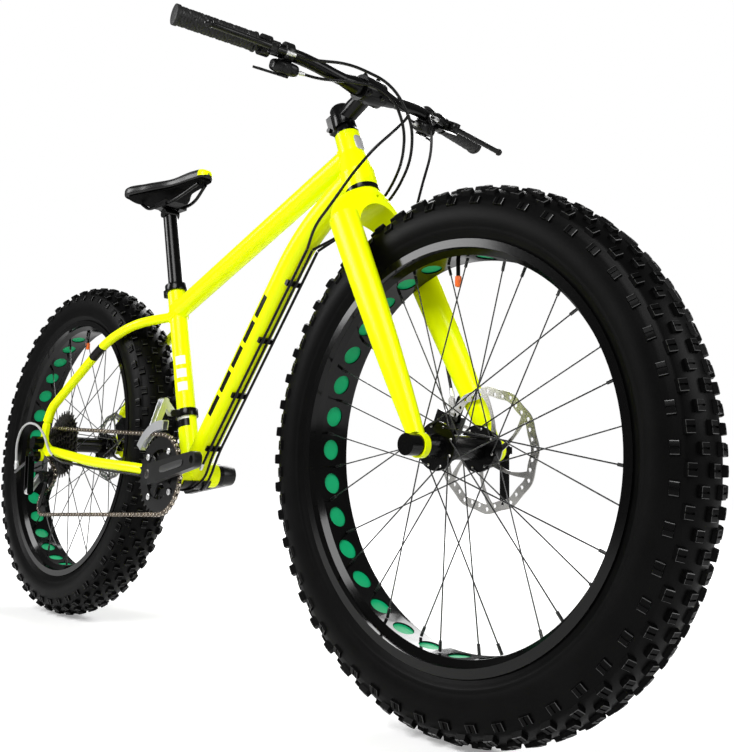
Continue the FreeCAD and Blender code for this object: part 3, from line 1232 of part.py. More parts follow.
def caliper_place(middle, out, radius, degrees):
    """Origin of a caliper on its rotor's band, with the direction out from the axle."""
    way = direction(degrees)
    return middle + way * (radius - ROTOR_BAND_WIDTH / 2) + LEFT * out, way


def caliper(middle, out, radius, degrees, mount):
    """Body that straddles the rotor with two pads inside, on a tab to the leg or stay."""
    origin, way = caliper_place(middle, out, radius, degrees)
    room = CALIPER_OVERHANG + SEAT_GAP
    body = block(V(CALIPER_OVERHANG / 2 - CALIPER_BRIDGE, 0, 0),
                 CALIPER_DEPTH, CALIPER_HALF_WIDTH * 2, CALIPER_LENGTH)
    slot = block(V(room - CALIPER_DEPTH / 2 - CALIPER_BRIDGE / 2, 0, 0),
                 CALIPER_DEPTH, CALIPER_SLOT_WIDTH, CALIPER_LENGTH + OVERRUN)
    pin = rod(V(0, CALIPER_HALF_WIDTH - OVERRUN, 0),
              V(0, CALIPER_HALF_WIDTH + CALIPER_ARM_THICKNESS + SEAT_GAP * 2, 0), CALIPER_PIN_RADIUS)
    body = body.cut(slot).fuse(pin)
    body = placed(body, origin, way, LEFT)
    body = body.fuse(mount).removeSplitter()
    pads = []
    pad_width = (CALIPER_SLOT_WIDTH - ROTOR_THICKNESS) / 2 - SEAT_GAP
    for side in SIDES:
        pad_out = side * (ROTOR_THICKNESS / 2 + SEAT_GAP + pad_width / 2)
        pad = block(V(0, pad_out, 0), PAD_DEPTH, pad_width, PAD_LENGTH)
        pads.append(placed(pad, origin, way, LEFT))
    return [largest(body)] + pads


def caliper_arm(middle, out, radius, degrees):
    """Lever on the caliper's pin that presses the pads together."""
    origin = caliper_place(middle, out, radius, degrees)[0]
    start = LEFT * (CALIPER_HALF_WIDTH + SEAT_GAP)
    end = start + direction(CALIPER_ARM_DEG - degrees) * CALIPER_ARM_LENGTH
    arm = flat_bar(start, end, CALIPER_ARM_WIDTH, CALIPER_ARM_THICKNESS)
    boss = rod(start, start + LEFT * CALIPER_ARM_THICKNESS, CALIPER_PIN_RADIUS * 2)
    bore = rod(start - LEFT * OVERRUN, start + LEFT * (CALIPER_ARM_THICKNESS + OVERRUN),
               CALIPER_PIN_RADIUS + RUNNING_GAP)
    arm = fused([arm, boss]).cut(bore)
    arm.rotate(V(), LEFT, -degrees)
    arm.translate(origin)
    return [arm]


def front_caliper():
    out = ROTOR_FRONT_OUT
    origin = caliper_place(FRONT_AXLE, out, ROTOR_FRONT_RADIUS, CALIPER_FRONT_DEG)[0]
    leg_drop = FORK_LENGTH - ROTOR_FRONT_RADIUS
    leg = on_steerer(FORK_OFFSET * leg_drop / FORK_LENGTH - LEG_HALF_LENGTHS[2] - SEAT_GAP, 0, -leg_drop)
    tab_out = FRONT_DROPOUT_FACE - BRACKET_TAB_THICKNESS / 2
    start = V(origin.x, tab_out, origin.z)
    end = V(leg.x, tab_out, leg.z)
    mount = flat_bar(start, end, BRACKET_TAB_WIDTH, BRACKET_TAB_THICKNESS).cut(fork_leg(1))
    return caliper(FRONT_AXLE, out, ROTOR_FRONT_RADIUS, CALIPER_FRONT_DEG, mount)


def rear_caliper():
    out = ROTOR_REAR_OUT
    origin = caliper_place(REAR_AXLE, out, ROTOR_REAR_RADIUS, CALIPER_REAR_DEG)[0]
    tab_out = REAR_DROPOUT_FACE - BRACKET_TAB_THICKNESS - SEAT_GAP / 3
    start = V(origin.x, tab_out, origin.z)
    end = from_rear(CHAINSTAY_TAIL_AHEAD / 2, tab_out, CHAINSTAY_TAIL_UP + DROPOUT_BAR_WIDTH / 2)
    mount = flat_bar(start, end, BRACKET_TAB_WIDTH, BRACKET_TAB_THICKNESS)
    return caliper(REAR_AXLE, out, ROTOR_REAR_RADIUS, CALIPER_REAR_DEG, mount)


def pitch_radius(teeth):
    return CHAIN_PITCH / (2 * math.sin(math.pi / teeth))


def tangent_points(first, second):
    """Ends of the straight run from one (centre, radius, turn) circle to the next; turn is +1 or -1."""
    span = second[0] - first[0]
    lift = math.asin((first[2] * first[1] - second[2] * second[1]) / span.Length)
    angle = math.atan2(span.z, span.x) + lift
    normal = V(-math.sin(angle), 0, math.cos(angle))
    return first[0] - normal * (first[2] * first[1]), second[0] - normal * (second[2] * second[1])


def wrap(circle, arrive, leave):
    """Start angle and signed sweep of the arc round one circle."""
    centre = circle[0]
    turn = circle[2]
    start = math.atan2(arrive.z - centre.z, arrive.x - centre.x)
    end = math.atan2(leave.z - centre.z, leave.x - centre.x)
    return start, turn * ((turn * (end - start)) % (2 * math.pi))


def around(circle, angle):
    return circle[0] + V(math.cos(angle), 0, math.sin(angle)) * circle[1]


def belt_wire(circles):
    """Closed loop of tangent runs and arcs round the circles."""
    runs = [tangent_points(first, second) for first, second in zip(circles, circles[1:] + circles[:1])]
    edges = []
    for index, circle in enumerate(circles):
        arrive = runs[index - 1][1]
        leave = runs[index][0]
        start, sweep = wrap(circle, arrive, leave)
        edges.append(Part.Arc(arrive, around(circle, start + sweep / 2), leave).toShape())
        edges.append(Part.makeLine(*runs[index]))
    return Part.Wire(edges)


def chain_circles(lean_deg, grow):
    """Pitch circles in the order that the chain runs, made larger outside and smaller inside by grow."""
    guide = REAR_AXLE + V(GUIDE_PULLEY_AHEAD, -CHAIN_LINE, -GUIDE_PULLEY_DROP)
    tension = guide + direction(-TURN_DEG / 4 - lean_deg) * CAGE_LENGTH
    side = LEFT * -CHAIN_LINE
    return [(REAR_AXLE + side, pitch_radius(COG_TEETH[DRIVE_COG_INDEX]) + grow, -1),
            (BRACKET + side, pitch_radius(BIG_RING_TEETH) + grow, -1),
            (tension, pitch_radius(PULLEY_TEETH) + grow, -1),
            (guide, pitch_radius(PULLEY_TEETH) - grow, 1)]


SPROCKET_TEETH = (COG_TEETH[DRIVE_COG_INDEX], BIG_RING_TEETH, PULLEY_TEETH, PULLEY_TEETH)


def chain_stretches(lean_deg):
    """For each sprocket, its arc and the run after it, with the links that each holds."""
    circles = chain_circles(lean_deg, 0)
    runs = [tangent_points(first, second) for first, second in zip(circles, circles[1:] + circles[:1])]
    stretches = []
    for index, circle in enumerate(circles):
        start, sweep = wrap(circle, runs[index - 1][1], runs[index][0])
        arc_links = abs(sweep) * SPROCKET_TEETH[index] / (2 * math.pi)
        run_links = (runs[index][1] - runs[index][0]).Length / CHAIN_PITCH
        stretches.append((circle, start, sweep, arc_links, runs[index], run_links))
    return stretches


def link_count(lean_deg):
    return sum(stretch[3] + stretch[5] for stretch in chain_stretches(lean_deg))


def closing_lean():
    """Lean of the derailleur cage at which the chain holds a whole, even number of links."""
    target = 2 * round(link_count(CAGE_LEAN_DEG) / 2)
    low = CAGE_LEAN_LOW_DEG
    high = CAGE_LEAN_HIGH_DEG
    while high - low > CAGE_LEAN_TOLERANCE_DEG:
        middle = (low + high) / 2
        if link_count(middle) < target:
            low = middle
        else:
            high = middle
    return low


CAGE_LEAN = closing_lean()
GUIDE_PULLEY = chain_circles(CAGE_LEAN, 0)[3][0]
TENSION_PULLEY = chain_circles(CAGE_LEAN, 0)[2][0]


def roller_places():
    """Roller centres round the loop, and one roller's angle on each sprocket."""
    places = []
    gap_angles = []
    start_link = 0.0
    for circle, start, sweep, arc_links, run, run_links in chain_stretches(CAGE_LEAN):
        first = math.ceil(start_link) - start_link
        step = sweep / arc_links
        gap_angles.append(start + first * step)
        for index in range(math.floor(arc_links - first) + 1):
            places.append(around(circle, start + (first + index) * step))
        start_link += arc_links
        first = math.ceil(start_link) - start_link
        along = (run[1] - run[0]) * (1 / run_links)
        for index in range(math.floor(run_links - first) + 1):
            places.append(run[0] + along * (first + index))
        start_link += run_links
    return places, gap_angles


def chain():
    """Two bands of side plates with the rollers between them."""
    outer = Part.Face(belt_wire(chain_circles(CAGE_LEAN, CHAIN_PLATE_HALF_HEIGHT)))
    inner = Part.Face(belt_wire(chain_circles(CAGE_LEAN, -CHAIN_PLATE_HALF_HEIGHT)))
    band = outer.cut(inner)
    pieces = []
    for side in SIDES:
        near = CHAIN_PLATE_INSIDE if side > 0 else -CHAIN_PLATE_INSIDE - CHAIN_PLATE_THICKNESS
        plate = band.copy()
        plate.translate(LEFT * near)
        pieces += plate.extrude(LEFT * CHAIN_PLATE_THICKNESS).Solids
    reach = LEFT * (CHAIN_PLATE_INSIDE + CHAIN_PLATE_THICKNESS / 2)
    rollers = [rod(place - reach, place + reach, CHAIN_ROLLER_RADIUS) for place in roller_places()[0]]
    return [pieces[0].fuse(pieces[1:] + rollers)]


def sprocket(middle, teeth, gap_angle, bore):
    """Toothed disc; a roller sits at gap_angle, turned from ahead towards up."""
    radius = pitch_radius(teeth)
    step = 2 * math.pi / teeth
    face = middle - LEFT * (SPROCKET_THICKNESS / 2)
    corners = ((-TOOTH_ROOT_DEPTH, -TOOTH_ROOT_HALF), (TOOTH_TIP_HEIGHT, -TOOTH_TIP_HALF),
               (TOOTH_TIP_HEIGHT, TOOTH_TIP_HALF), (-TOOTH_ROOT_DEPTH, TOOTH_ROOT_HALF))
    points = []
    for tooth in range(teeth):
        angle = gap_angle + (tooth + 0.5) * step
        for height, half in corners:
            turn = angle + half / (radius + height)
            points.append(face + V(math.cos(turn), 0, math.sin(turn)) * (radius + height))
    disc = prism(points, LEFT * SPROCKET_THICKNESS)
    return disc.cut(rod(face - LEFT * OVERRUN, face + LEFT * OVERRUN, bore))


def cassette():
    """Cogs and spacers on the freehub body, held by the lockring."""
    gap_angle = roller_places()[1][0]
    outer_cog = CHAIN_LINE + DRIVE_COG_INDEX * COG_SPACING
    pieces = []
    for index, teeth in enumerate(COG_TEETH):
        place = REAR_AXLE - LEFT * (outer_cog - index * COG_SPACING)
        bore = FREEHUB_RADIUS + RUNNING_GAP
        pieces.append(sprocket(place, teeth, gap_angle, bore))
        if index:
            start = place - LEFT * (COG_SPACING - SPROCKET_THICKNESS / 2)
            pieces.append(pipe(start, place - LEFT * (SPROCKET_THICKNESS / 2), SPACER_RADIUS, bore))
    inner_end = -REAR_FLANGE_RIGHT - FLANGE_THICKNESS / 2 - SEAT_GAP
    outer_end = -REAR_DROPOUT_FACE + SEAT_GAP
    lock_face = -outer_cog - SPROCKET_THICKNESS / 2
    bore = AXLE_RADIUS + RUNNING_GAP
    outline = ((inner_end, bore), (inner_end, FREEHUB_RADIUS), (lock_face, FREEHUB_RADIUS),
               (lock_face, HUB_END_RADIUS), (outer_end, HUB_END_RADIUS), (outer_end, bore))
    pieces.append(lathe(outline, REAR_AXLE, LEFT))
    ring_face = REAR_AXLE + LEFT * lock_face
    pieces.append(pipe(ring_face - LEFT * LOCKRING_THICKNESS, ring_face, LOCKRING_RADIUS,
                       HUB_END_RADIUS + RUNNING_GAP))
    return pieces


def crank_arm(side, boss_face, boss_radius):
    """Forged arm from the spindle to the pedal thread, leaning outwards."""
    way = direction(CRANK_DEG) * -side
    across = LEFT.cross(way)
    tip = BRACKET + way * CRANK_LENGTH
    reach = CRANK_LENGTH + CRANK_TIP_HALF_WIDTH
    flare = CRANK_TIP_FACE - boss_face

    def edge(along, depth):
        out = boss_face + flare * max(along, 0) / reach - depth
        return BRACKET + way * along + LEFT * (side * out)

    profile = [edge(-boss_radius, 0), edge(0, 0), edge(reach, 0), edge(reach, CRANK_THICKNESS),
               edge(0, CRANK_THICKNESS), edge(-boss_radius, CRANK_THICKNESS)]
    width = CRANK_BOSS_HALF_WIDTH * 2
    slab = prism([point - across * width for point in profile], across * (width * 2))
    outer = LEFT * (side * (CRANK_TIP_FACE + OVERRUN))
    plan = [BRACKET + across * CRANK_BOSS_HALF_WIDTH, tip + across * CRANK_TIP_HALF_WIDTH,
            tip - across * CRANK_TIP_HALF_WIDTH, BRACKET - across * CRANK_BOSS_HALF_WIDTH]
    outline = prism(plan, outer).fuse([rod(BRACKET, BRACKET + outer, CRANK_BOSS_HALF_WIDTH),
                                       rod(tip, tip + outer, CRANK_TIP_HALF_WIDTH)])
    return slab.common(outline).cut(rod(tip, tip + outer, PEDAL_THREAD_RADIUS))


def ring_bolt_places(radius):
    first = CRANK_DEG + SPIDER_ARM_DEG
    step = TURN_DEG / SPIDER_ARM_COUNT
    return [BRACKET + direction(first + index * step) * radius for index in range(SPIDER_ARM_COUNT)]


def crank_arm_right():
    """Right arm with the spindle and the spider that carries the chainrings."""
    inner_face = CHAIN_LINE - SPROCKET_THICKNESS / 2
    spider_face = BRACKET - LEFT * inner_face
    boss_start = BRACKET - LEFT * (BRACKET_SHELL_WIDTH / 2 + CUP_WIDTH + SEAT_GAP)
    boss_end = BRACKET - LEFT * (CRANK_BOSS_FACE - CRANK_THICKNESS / 2)
    pieces = [crank_arm(-1, CRANK_BOSS_FACE, CRANK_BOSS_HALF_WIDTH),
              rod(boss_start, boss_end, CRANK_BOSS_HALF_WIDTH),
              rod(boss_end, BRACKET + LEFT * (CRANK_LEFT_FACE - SEAT_GAP), SPINDLE_RADIUS)]
    for place in ring_bolt_places(RING_BOLT_CIRCLE_RADIUS):
        pieces.append(flat_bar(spider_face, place - LEFT * inner_face, SPIDER_ARM_WIDTH, SPIDER_THICKNESS))
    solid = fused(pieces)
    for circle_radius in (RING_BOLT_CIRCLE_RADIUS, SMALL_RING_BOLT_CIRCLE_RADIUS):
        for place in ring_bolt_places(circle_radius):
            solid = solid.cut(rod(place - LEFT * CHAIN_LINE, place - LEFT * (CHAIN_LINE / 2),
                                  RING_BOLT_RADIUS + RUNNING_GAP))
    return [solid]


def crank_arm_left():
    arm = crank_arm(1, CRANK_LEFT_FACE, CRANK_BOSS_HALF_WIDTH)
    face = BRACKET + LEFT * (BRACKET_SHELL_WIDTH / 2 + CUP_WIDTH + SEAT_GAP)
    sleeve = rod(face, BRACKET + LEFT * (CRANK_LEFT_FACE - CRANK_THICKNESS / 2), CRANK_BOSS_HALF_WIDTH)
    bore = rod(BRACKET, BRACKET + LEFT * (CRANK_LEFT_FACE + OVERRUN), SPINDLE_RADIUS + RUNNING_GAP)
    return [fused([arm, sleeve]).cut(bore)]


def chainrings():
    """Big and small ring with their bolts through the spider."""
    gap_angle = roller_places()[1][1]
    big = sprocket(BRACKET - LEFT * CHAIN_LINE, BIG_RING_TEETH, gap_angle, BIG_RING_BORE)
    small_middle = BRACKET - LEFT * (CHAIN_LINE - RING_SPACING)
    small = sprocket(small_middle, SMALL_RING_TEETH, gap_angle, SMALL_RING_BORE)
    big_outer = -CHAIN_LINE - SPROCKET_THICKNESS / 2
    spider_inner = -CHAIN_LINE + SPROCKET_THICKNESS / 2 + SPIDER_THICKNESS
    small_inner = -CHAIN_LINE + RING_SPACING + SPROCKET_THICKNESS / 2
    bolts = []
    for place in ring_bolt_places(RING_BOLT_CIRCLE_RADIUS):
        face = place + LEFT * big_outer
        hole = rod(face - LEFT * OVERRUN, place + LEFT * spider_inner, RING_BOLT_RADIUS + RUNNING_GAP)
        big = big.cut(hole)
        shank = rod(face, place + LEFT * spider_inner, RING_BOLT_RADIUS)
        head = rod(face - LEFT * RING_BOLT_HEAD_HEIGHT, face, RING_BOLT_HEAD_RADIUS)
        bolts.append(fused([shank, head]))
    for place in ring_bolt_places(SMALL_RING_BOLT_CIRCLE_RADIUS):
        near = place + LEFT * spider_inner
        face = place + LEFT * small_inner
        small = small.cut(rod(near, face + LEFT * OVERRUN, RING_BOLT_RADIUS + RUNNING_GAP))
        sleeve = pipe(near, face - LEFT * SPROCKET_THICKNESS, RING_BOLT_HEAD_RADIUS, RING_BOLT_RADIUS)
        shank = rod(near - LEFT * SPIDER_THICKNESS, face, RING_BOLT_RADIUS)
        head = rod(face, face + LEFT * RING_BOLT_HEAD_HEIGHT, RING_BOLT_HEAD_RADIUS)
        bolts.append(fused([sleeve, shank, head]))
    return [big, small] + bolts


def pulley(middle, gap_angle):
    return [sprocket(middle, PULLEY_TEETH, gap_angle, PULLEY_BORE + RUNNING_GAP)]


LINK_TOP = V(GUIDE_PULLEY.x + REAR_LINK_AHEAD, -(KNUCKLE_INNER_OUT + KNUCKLE_OUTER_OUT) / 2, GUIDE_PULLEY.z)
LINK_FOOT = LINK_TOP - V(0, LINK_LENGTH_OUT, LINK_LENGTH_UP)
HANGER = REAR_AXLE + V(-HANGER_BACK, -REAR_DROPOUT_FACE - DROPOUT_THICKNESS, -HANGER_DROP)


def link_ears(pivot):
    """Two ears fore and aft of a link, and the pin that joins them."""
    ahead = LINK_WIDTH / 2 + SEAT_GAP + LINK_EAR_THICKNESS / 2
    half = AHEAD * (ahead + LINK_EAR_THICKNESS / 2)
    ears = [rod(pivot - half, pivot - half + AHEAD * LINK_EAR_THICKNESS, LINK_HALF_HEIGHT),
            rod(pivot + half - AHEAD * LINK_EAR_THICKNESS, pivot + half, LINK_HALF_HEIGHT)]
    return ears + [rod(pivot - half, pivot + half, LINK_PIVOT_RADIUS)]


def link(top, foot):
    """Parallelogram arm between two fore-and-aft pins."""
    half = AHEAD * (LINK_WIDTH / 2)
    along = top - foot
    across = along.cross(AHEAD)
    across.normalize()
    wide = across * LINK_HALF_HEIGHT
    web = prism([top - half + wide, foot - half + wide, foot - half - wide, top - half - wide], half * 2)
    ends = [rod(place - half, place + half, LINK_HALF_HEIGHT) for place in (top, foot)]
    solid = fused([web] + ends)
    for place in (top, foot):
        solid = solid.cut(rod(place - half * 2, place + half * 2, LINK_PIVOT_RADIUS + RUNNING_GAP))
    return [solid]


def rear_derailleur_bracket():
    """Knuckle on the hanger bolt, with ears for the link's lower pin and the cable barrel behind."""
    inner = HANGER - LEFT * SEAT_GAP
    outer = V(HANGER.x, -REAR_BRACKET_OUT, HANGER.z)
    boss = rod(inner, outer, KNUCKLE_RADIUS)
    bolt = rod(HANGER + LEFT * DROPOUT_THICKNESS, outer, HANGER_BOLT_RADIUS)
    ears = link_ears(LINK_FOOT)
    ahead = LINK_WIDTH / 2 + SEAT_GAP
    bars = []
    for step in SIDES:
        start = V(LINK_FOOT.x + step * ahead, 0, 0)
        near = V(start.x, -REAR_BRACKET_OUT, HANGER.z)
        far = V(start.x, LINK_FOOT.y, LINK_FOOT.z)
        wide = LEFT * LINK_HALF_HEIGHT
        outline = [near + wide, far + wide, far - wide, near - wide]
        bars.append(prism(outline, AHEAD * (step * LINK_EAR_THICKNESS)))
    yoke_middle = V((HANGER.x + LINK_FOOT.x) / 2, -REAR_BRACKET_OUT + KNUCKLE_RADIUS / 2, HANGER.z)
    yoke_length = abs(HANGER.x - LINK_FOOT.x) + LINK_WIDTH + LINK_EAR_THICKNESS * 2
    yoke = block(yoke_middle, yoke_length, KNUCKLE_RADIUS, KNUCKLE_RADIUS)
    barrel_end = from_rear(-BARREL_BACK, -REAR_BRACKET_OUT + KNUCKLE_RADIUS / 2, WHEEL_RADIUS - BARREL_DROP)
    arm = rod(yoke_middle, barrel_end, BARREL_RADIUS)
    return [fused([boss, bolt, yoke, arm] + ears + bars)]


def rear_derailleur_knuckle():
    """Housing of the cage pivot, held by the link's upper pin."""
    inner = V(GUIDE_PULLEY.x, -KNUCKLE_INNER_OUT, GUIDE_PULLEY.z)
    outer = V(GUIDE_PULLEY.x, -KNUCKLE_OUTER_OUT, GUIDE_PULLEY.z)
    body = rod(inner, outer, KNUCKLE_RADIUS)
    ahead = LINK_WIDTH / 2 + SEAT_GAP + LINK_EAR_THICKNESS
    arm = block(V((LINK_TOP.x + ahead + GUIDE_PULLEY.x) / 2, LINK_TOP.y, LINK_TOP.z),
                GUIDE_PULLEY.x - LINK_TOP.x - ahead, KNUCKLE_ARM_WIDTH, KNUCKLE_ARM_WIDTH)
    bridge_up = LINK_HALF_HEIGHT + LINK_EAR_THICKNESS
    bridge = block(LINK_TOP + UP * (bridge_up + LINK_EAR_THICKNESS / 2), ahead * 2, LINK_HALF_HEIGHT * 2,
                   LINK_EAR_THICKNESS)
    posts = []
    for step in SIDES:
        middle = LINK_TOP + V(step * (ahead - LINK_EAR_THICKNESS / 2), 0, bridge_up / 2)
        posts.append(block(middle, LINK_EAR_THICKNESS, LINK_HALF_HEIGHT * 2, bridge_up))
    bore = rod(inner + LEFT * OVERRUN, outer - LEFT * OVERRUN, CAGE_PIVOT_RADIUS + RUNNING_GAP)
    arm = arm.cut(rod(inner, outer, KNUCKLE_RADIUS))
    return [fused([body.cut(bore), arm, bridge] + posts + link_ears(LINK_TOP)).cut(bore)]


def rear_derailleur_cage():
    """Two plates that hold the pulleys, with the pivot stub into the knuckle."""
    plates = []
    for side in SIDES:
        out = -CHAIN_LINE + side * CAGE_PLATE_GAP
        face = out if side > 0 else out - CAGE_PLATE_THICKNESS
        start = V(GUIDE_PULLEY.x, face, GUIDE_PULLEY.z)
        end = V(TENSION_PULLEY.x, face, TENSION_PULLEY.z)
        plates.append(flat_bar(start, end, CAGE_PLATE_WIDTH, CAGE_PLATE_THICKNESS))
    pins = []
    reach = LEFT * (CAGE_PLATE_GAP + CAGE_PLATE_THICKNESS / 2)
    for place in (GUIDE_PULLEY, TENSION_PULLEY):
        pins.append(rod(place - reach, place + reach, PULLEY_BORE))
    stub_start = GUIDE_PULLEY - LEFT * (CAGE_PLATE_GAP + CAGE_PLATE_THICKNESS / 2)
    stub_end = V(GUIDE_PULLEY.x, -KNUCKLE_OUTER_OUT, GUIDE_PULLEY.z)
    pins.append(rod(stub_start, stub_end, CAGE_PIVOT_RADIUS))
    return [fused(plates + pins)]


FRONT_LINK_FOOT = on_seat(FRONT_CLAMP_HEIGHT, 0, -FRONT_LINK_OUT)
FRONT_LINK_TOP = FRONT_LINK_FOOT + V(0, -FRONT_LINK_LENGTH_OUT, FRONT_LINK_LENGTH_UP)


def front_derailleur_clamp():
    """Band round the seat tube with ears for the link's lower pin."""
    half = SEAT_AXIS * (FRONT_CLAMP_WIDTH / 2)
    middle = on_seat(FRONT_CLAMP_HEIGHT)
    band = pipe(middle - half, middle + half, SEAT_TUBE_RADIUS + FRONT_CLAMP_THICKNESS, SEAT_TUBE_RADIUS)
    bars = []
    ahead = LINK_WIDTH / 2 + SEAT_GAP + LINK_EAR_THICKNESS / 2
    for step in SIDES:
        length = FRONT_LINK_OUT - SEAT_TUBE_RADIUS - RUNNING_GAP
        bar_middle = middle + V(step * ahead, -FRONT_LINK_OUT + length / 2, 0)
        bars.append(block(bar_middle, LINK_EAR_THICKNESS, length, LINK_HALF_HEIGHT * 2))
    solid = fused([band] + bars + link_ears(FRONT_LINK_FOOT))
    return [solid.cut(seat_tube_core())]


def ring_sector(radii, faces, degrees):
    """Piece of a flat ring about the bottom bracket, between two radii, two faces and two angles."""
    inner, outer = radii
    near, far = faces
    ways = [direction(angle) for angle in (degrees[0], sum(degrees) / 2, degrees[1])]
    outside = [BRACKET + way * outer for way in ways]
    inside = [BRACKET + way * inner for way in ways]
    edges = [Part.Arc(*outside).toShape(), Part.makeLine(outside[2], inside[2]),
             Part.Arc(*inside[::-1]).toShape(), Part.makeLine(inside[0], outside[0])]
    face = Part.Face(Part.Wire(edges))
    face.translate(LEFT * near)
    return face.extrude(LEFT * (far - near))


def front_derailleur_cage():
    """Two curved plates over the big ring, bridged above and behind, held by the link's upper pin."""
    outer_face = -CHAIN_LINE - FRONT_CAGE_GAP - FRONT_CAGE_THICKNESS
    inner_face = -CHAIN_LINE + FRONT_CAGE_GAP + FRONT_CAGE_THICKNESS
    low = FRONT_CAGE_INNER_RADIUS
    high = FRONT_CAGE_OUTER_RADIUS
    thick = FRONT_CAGE_THICKNESS
    whole = (FRONT_CAGE_START_DEG, FRONT_CAGE_END_DEG)
    plates = [ring_sector((low, high), (outer_face, outer_face + thick), whole),
              ring_sector((low, high), (inner_face - thick, inner_face), whole),
              ring_sector((high - thick, high), (outer_face, inner_face),
                          (FRONT_CAGE_START_DEG, FRONT_CAGE_BRIDGE_DEG)),
              ring_sector((low, low + thick), (outer_face, inner_face),
                          (FRONT_CAGE_TAIL_DEG, FRONT_CAGE_END_DEG))]
    ahead = LINK_WIDTH / 2 + SEAT_GAP
    posts = []
    for step in SIDES:
        near = FRONT_LINK_TOP + AHEAD * (step * ahead)
        foot_x = near.x - BRACKET.x
        foot_up = math.sqrt(FRONT_CAGE_OUTER_RADIUS ** 2 - foot_x ** 2) - FRONT_CAGE_THICKNESS / 2
        foot = V(near.x, inner_face - FRONT_CAGE_GAP, BRACKET.z + foot_up)
        wide = LEFT * LINK_HALF_HEIGHT
        points = [near + wide, foot + wide, foot - wide, near - wide]
        posts.append(prism(points, AHEAD * (step * LINK_EAR_THICKNESS)))
    return [fused(plates + posts + link_ears(FRONT_LINK_TOP))]


RAIL_UP = CLAMP_PIVOT_RADIUS + CLAMP_HALF_HEIGHT
SADDLE_UNDERSIDE = SADDLE_HEIGHT - SADDLE_THICKNESS - SADDLE_BASE_THICKNESS


def seatpost():
    """Post with its head cradle under the saddle clamp."""
    bottom = on_seat(SEAT_TUBE_LENGTH - POST_INSERTION)
    top = on_seat(SEAT_TUBE_LENGTH + POST_EXPOSED + OVERRUN / 2)
    hollow = rod(bottom, on_seat(SEAT_TUBE_LENGTH), POST_RADIUS - POST_WALL)
    tube = rod(bottom, top, POST_RADIUS).cut(hollow)
    half = LEFT * (POST_RADIUS + POST_WALL)
    head = rod(SADDLE_CLAMP - half, SADDLE_CLAMP + half, CLAMP_PIVOT_RADIUS - SEAT_GAP)
    return [fused([tube, head])]


def saddle_clamp():
    """Lower and upper jaws that hold the rails over the post head, with their two bolts."""
    low_middle = SADDLE_CLAMP + UP * (RAIL_UP - CLAMP_HALF_HEIGHT / 2)
    high_middle = SADDLE_CLAMP + UP * (RAIL_UP + CLAMP_HALF_HEIGHT / 2)
    low = block(low_middle, CLAMP_LENGTH, CLAMP_WIDTH, CLAMP_HALF_HEIGHT)
    high = block(high_middle, CLAMP_LENGTH, CLAMP_WIDTH, CLAMP_HALF_HEIGHT)
    reach = LEFT * CLAMP_WIDTH
    low = low.cut(rod(SADDLE_CLAMP - reach, SADDLE_CLAMP + reach, CLAMP_PIVOT_RADIUS))
    for side in SIDES:
        rail = SADDLE_CLAMP + V(0, side * RAIL_HALF_SPACING, RAIL_UP)
        groove = rod(rail - AHEAD * CLAMP_LENGTH, rail + AHEAD * CLAMP_LENGTH, RAIL_RADIUS + RUNNING_GAP)
        low = low.cut(groove)
        high = high.cut(groove)
    bolts = []
    for step in SIDES:
        foot = SADDLE_CLAMP + V(step * CLAMP_BOLT_SPACING / 2, 0, 0)
        top = foot + UP * (RAIL_UP + CLAMP_HALF_HEIGHT)
        hole = rod(foot, top + UP * OVERRUN, SMALL_BOLT_RADIUS + RUNNING_GAP)
        low = low.cut(hole)
        high = high.cut(hole)
        seat = foot + UP * CLAMP_PIVOT_RADIUS
        head = rod(seat - UP * SMALL_BOLT_HEAD_HEIGHT, seat, SMALL_BOLT_HEAD_RADIUS)
        bolts.append(fused([rod(seat, top, SMALL_BOLT_RADIUS), head]))
    return [low, high] + bolts


def saddle_rails():
    rails = []
    slope = math.radians(SADDLE_TILT_DEG)

    def below_base(ahead):
        return (SADDLE_UNDERSIDE - RAIL_RADIUS - SEAT_GAP) / math.cos(slope) + ahead * math.tan(slope)

    tail = -SADDLE_BACK * SADDLE_SKIRT_SHARE - RAIL_STRAIGHT_HALF / 2
    nose = SADDLE_NOSE * SADDLE_TUCK_SHARE
    for side in SIDES:
        points = [V(tail, side * RAIL_HALF_SPACING, below_base(tail)),
                  V(-RAIL_STRAIGHT_HALF, side * RAIL_HALF_SPACING, RAIL_UP),
                  V(RAIL_STRAIGHT_HALF, side * RAIL_HALF_SPACING, RAIL_UP),
                  V(nose, side * RAIL_NOSE_HALF_SPACING, below_base(nose))]
        rails.append(bent_rod([SADDLE_CLAMP + point for point in points], RAIL_RADIUS))
    return rails


def saddle_stations():
    """Ahead of the clamp, half width and top share of each cross-section, from tail to nose."""
    length = SADDLE_NOSE + SADDLE_BACK
    rows = zip(SADDLE_STATION_SHARES, SADDLE_HALF_WIDTH_SHARES, SADDLE_TOP_SHARES)
    return [(share * length - SADDLE_BACK, width * SADDLE_HALF_WIDTH, top) for share, width, top in rows]


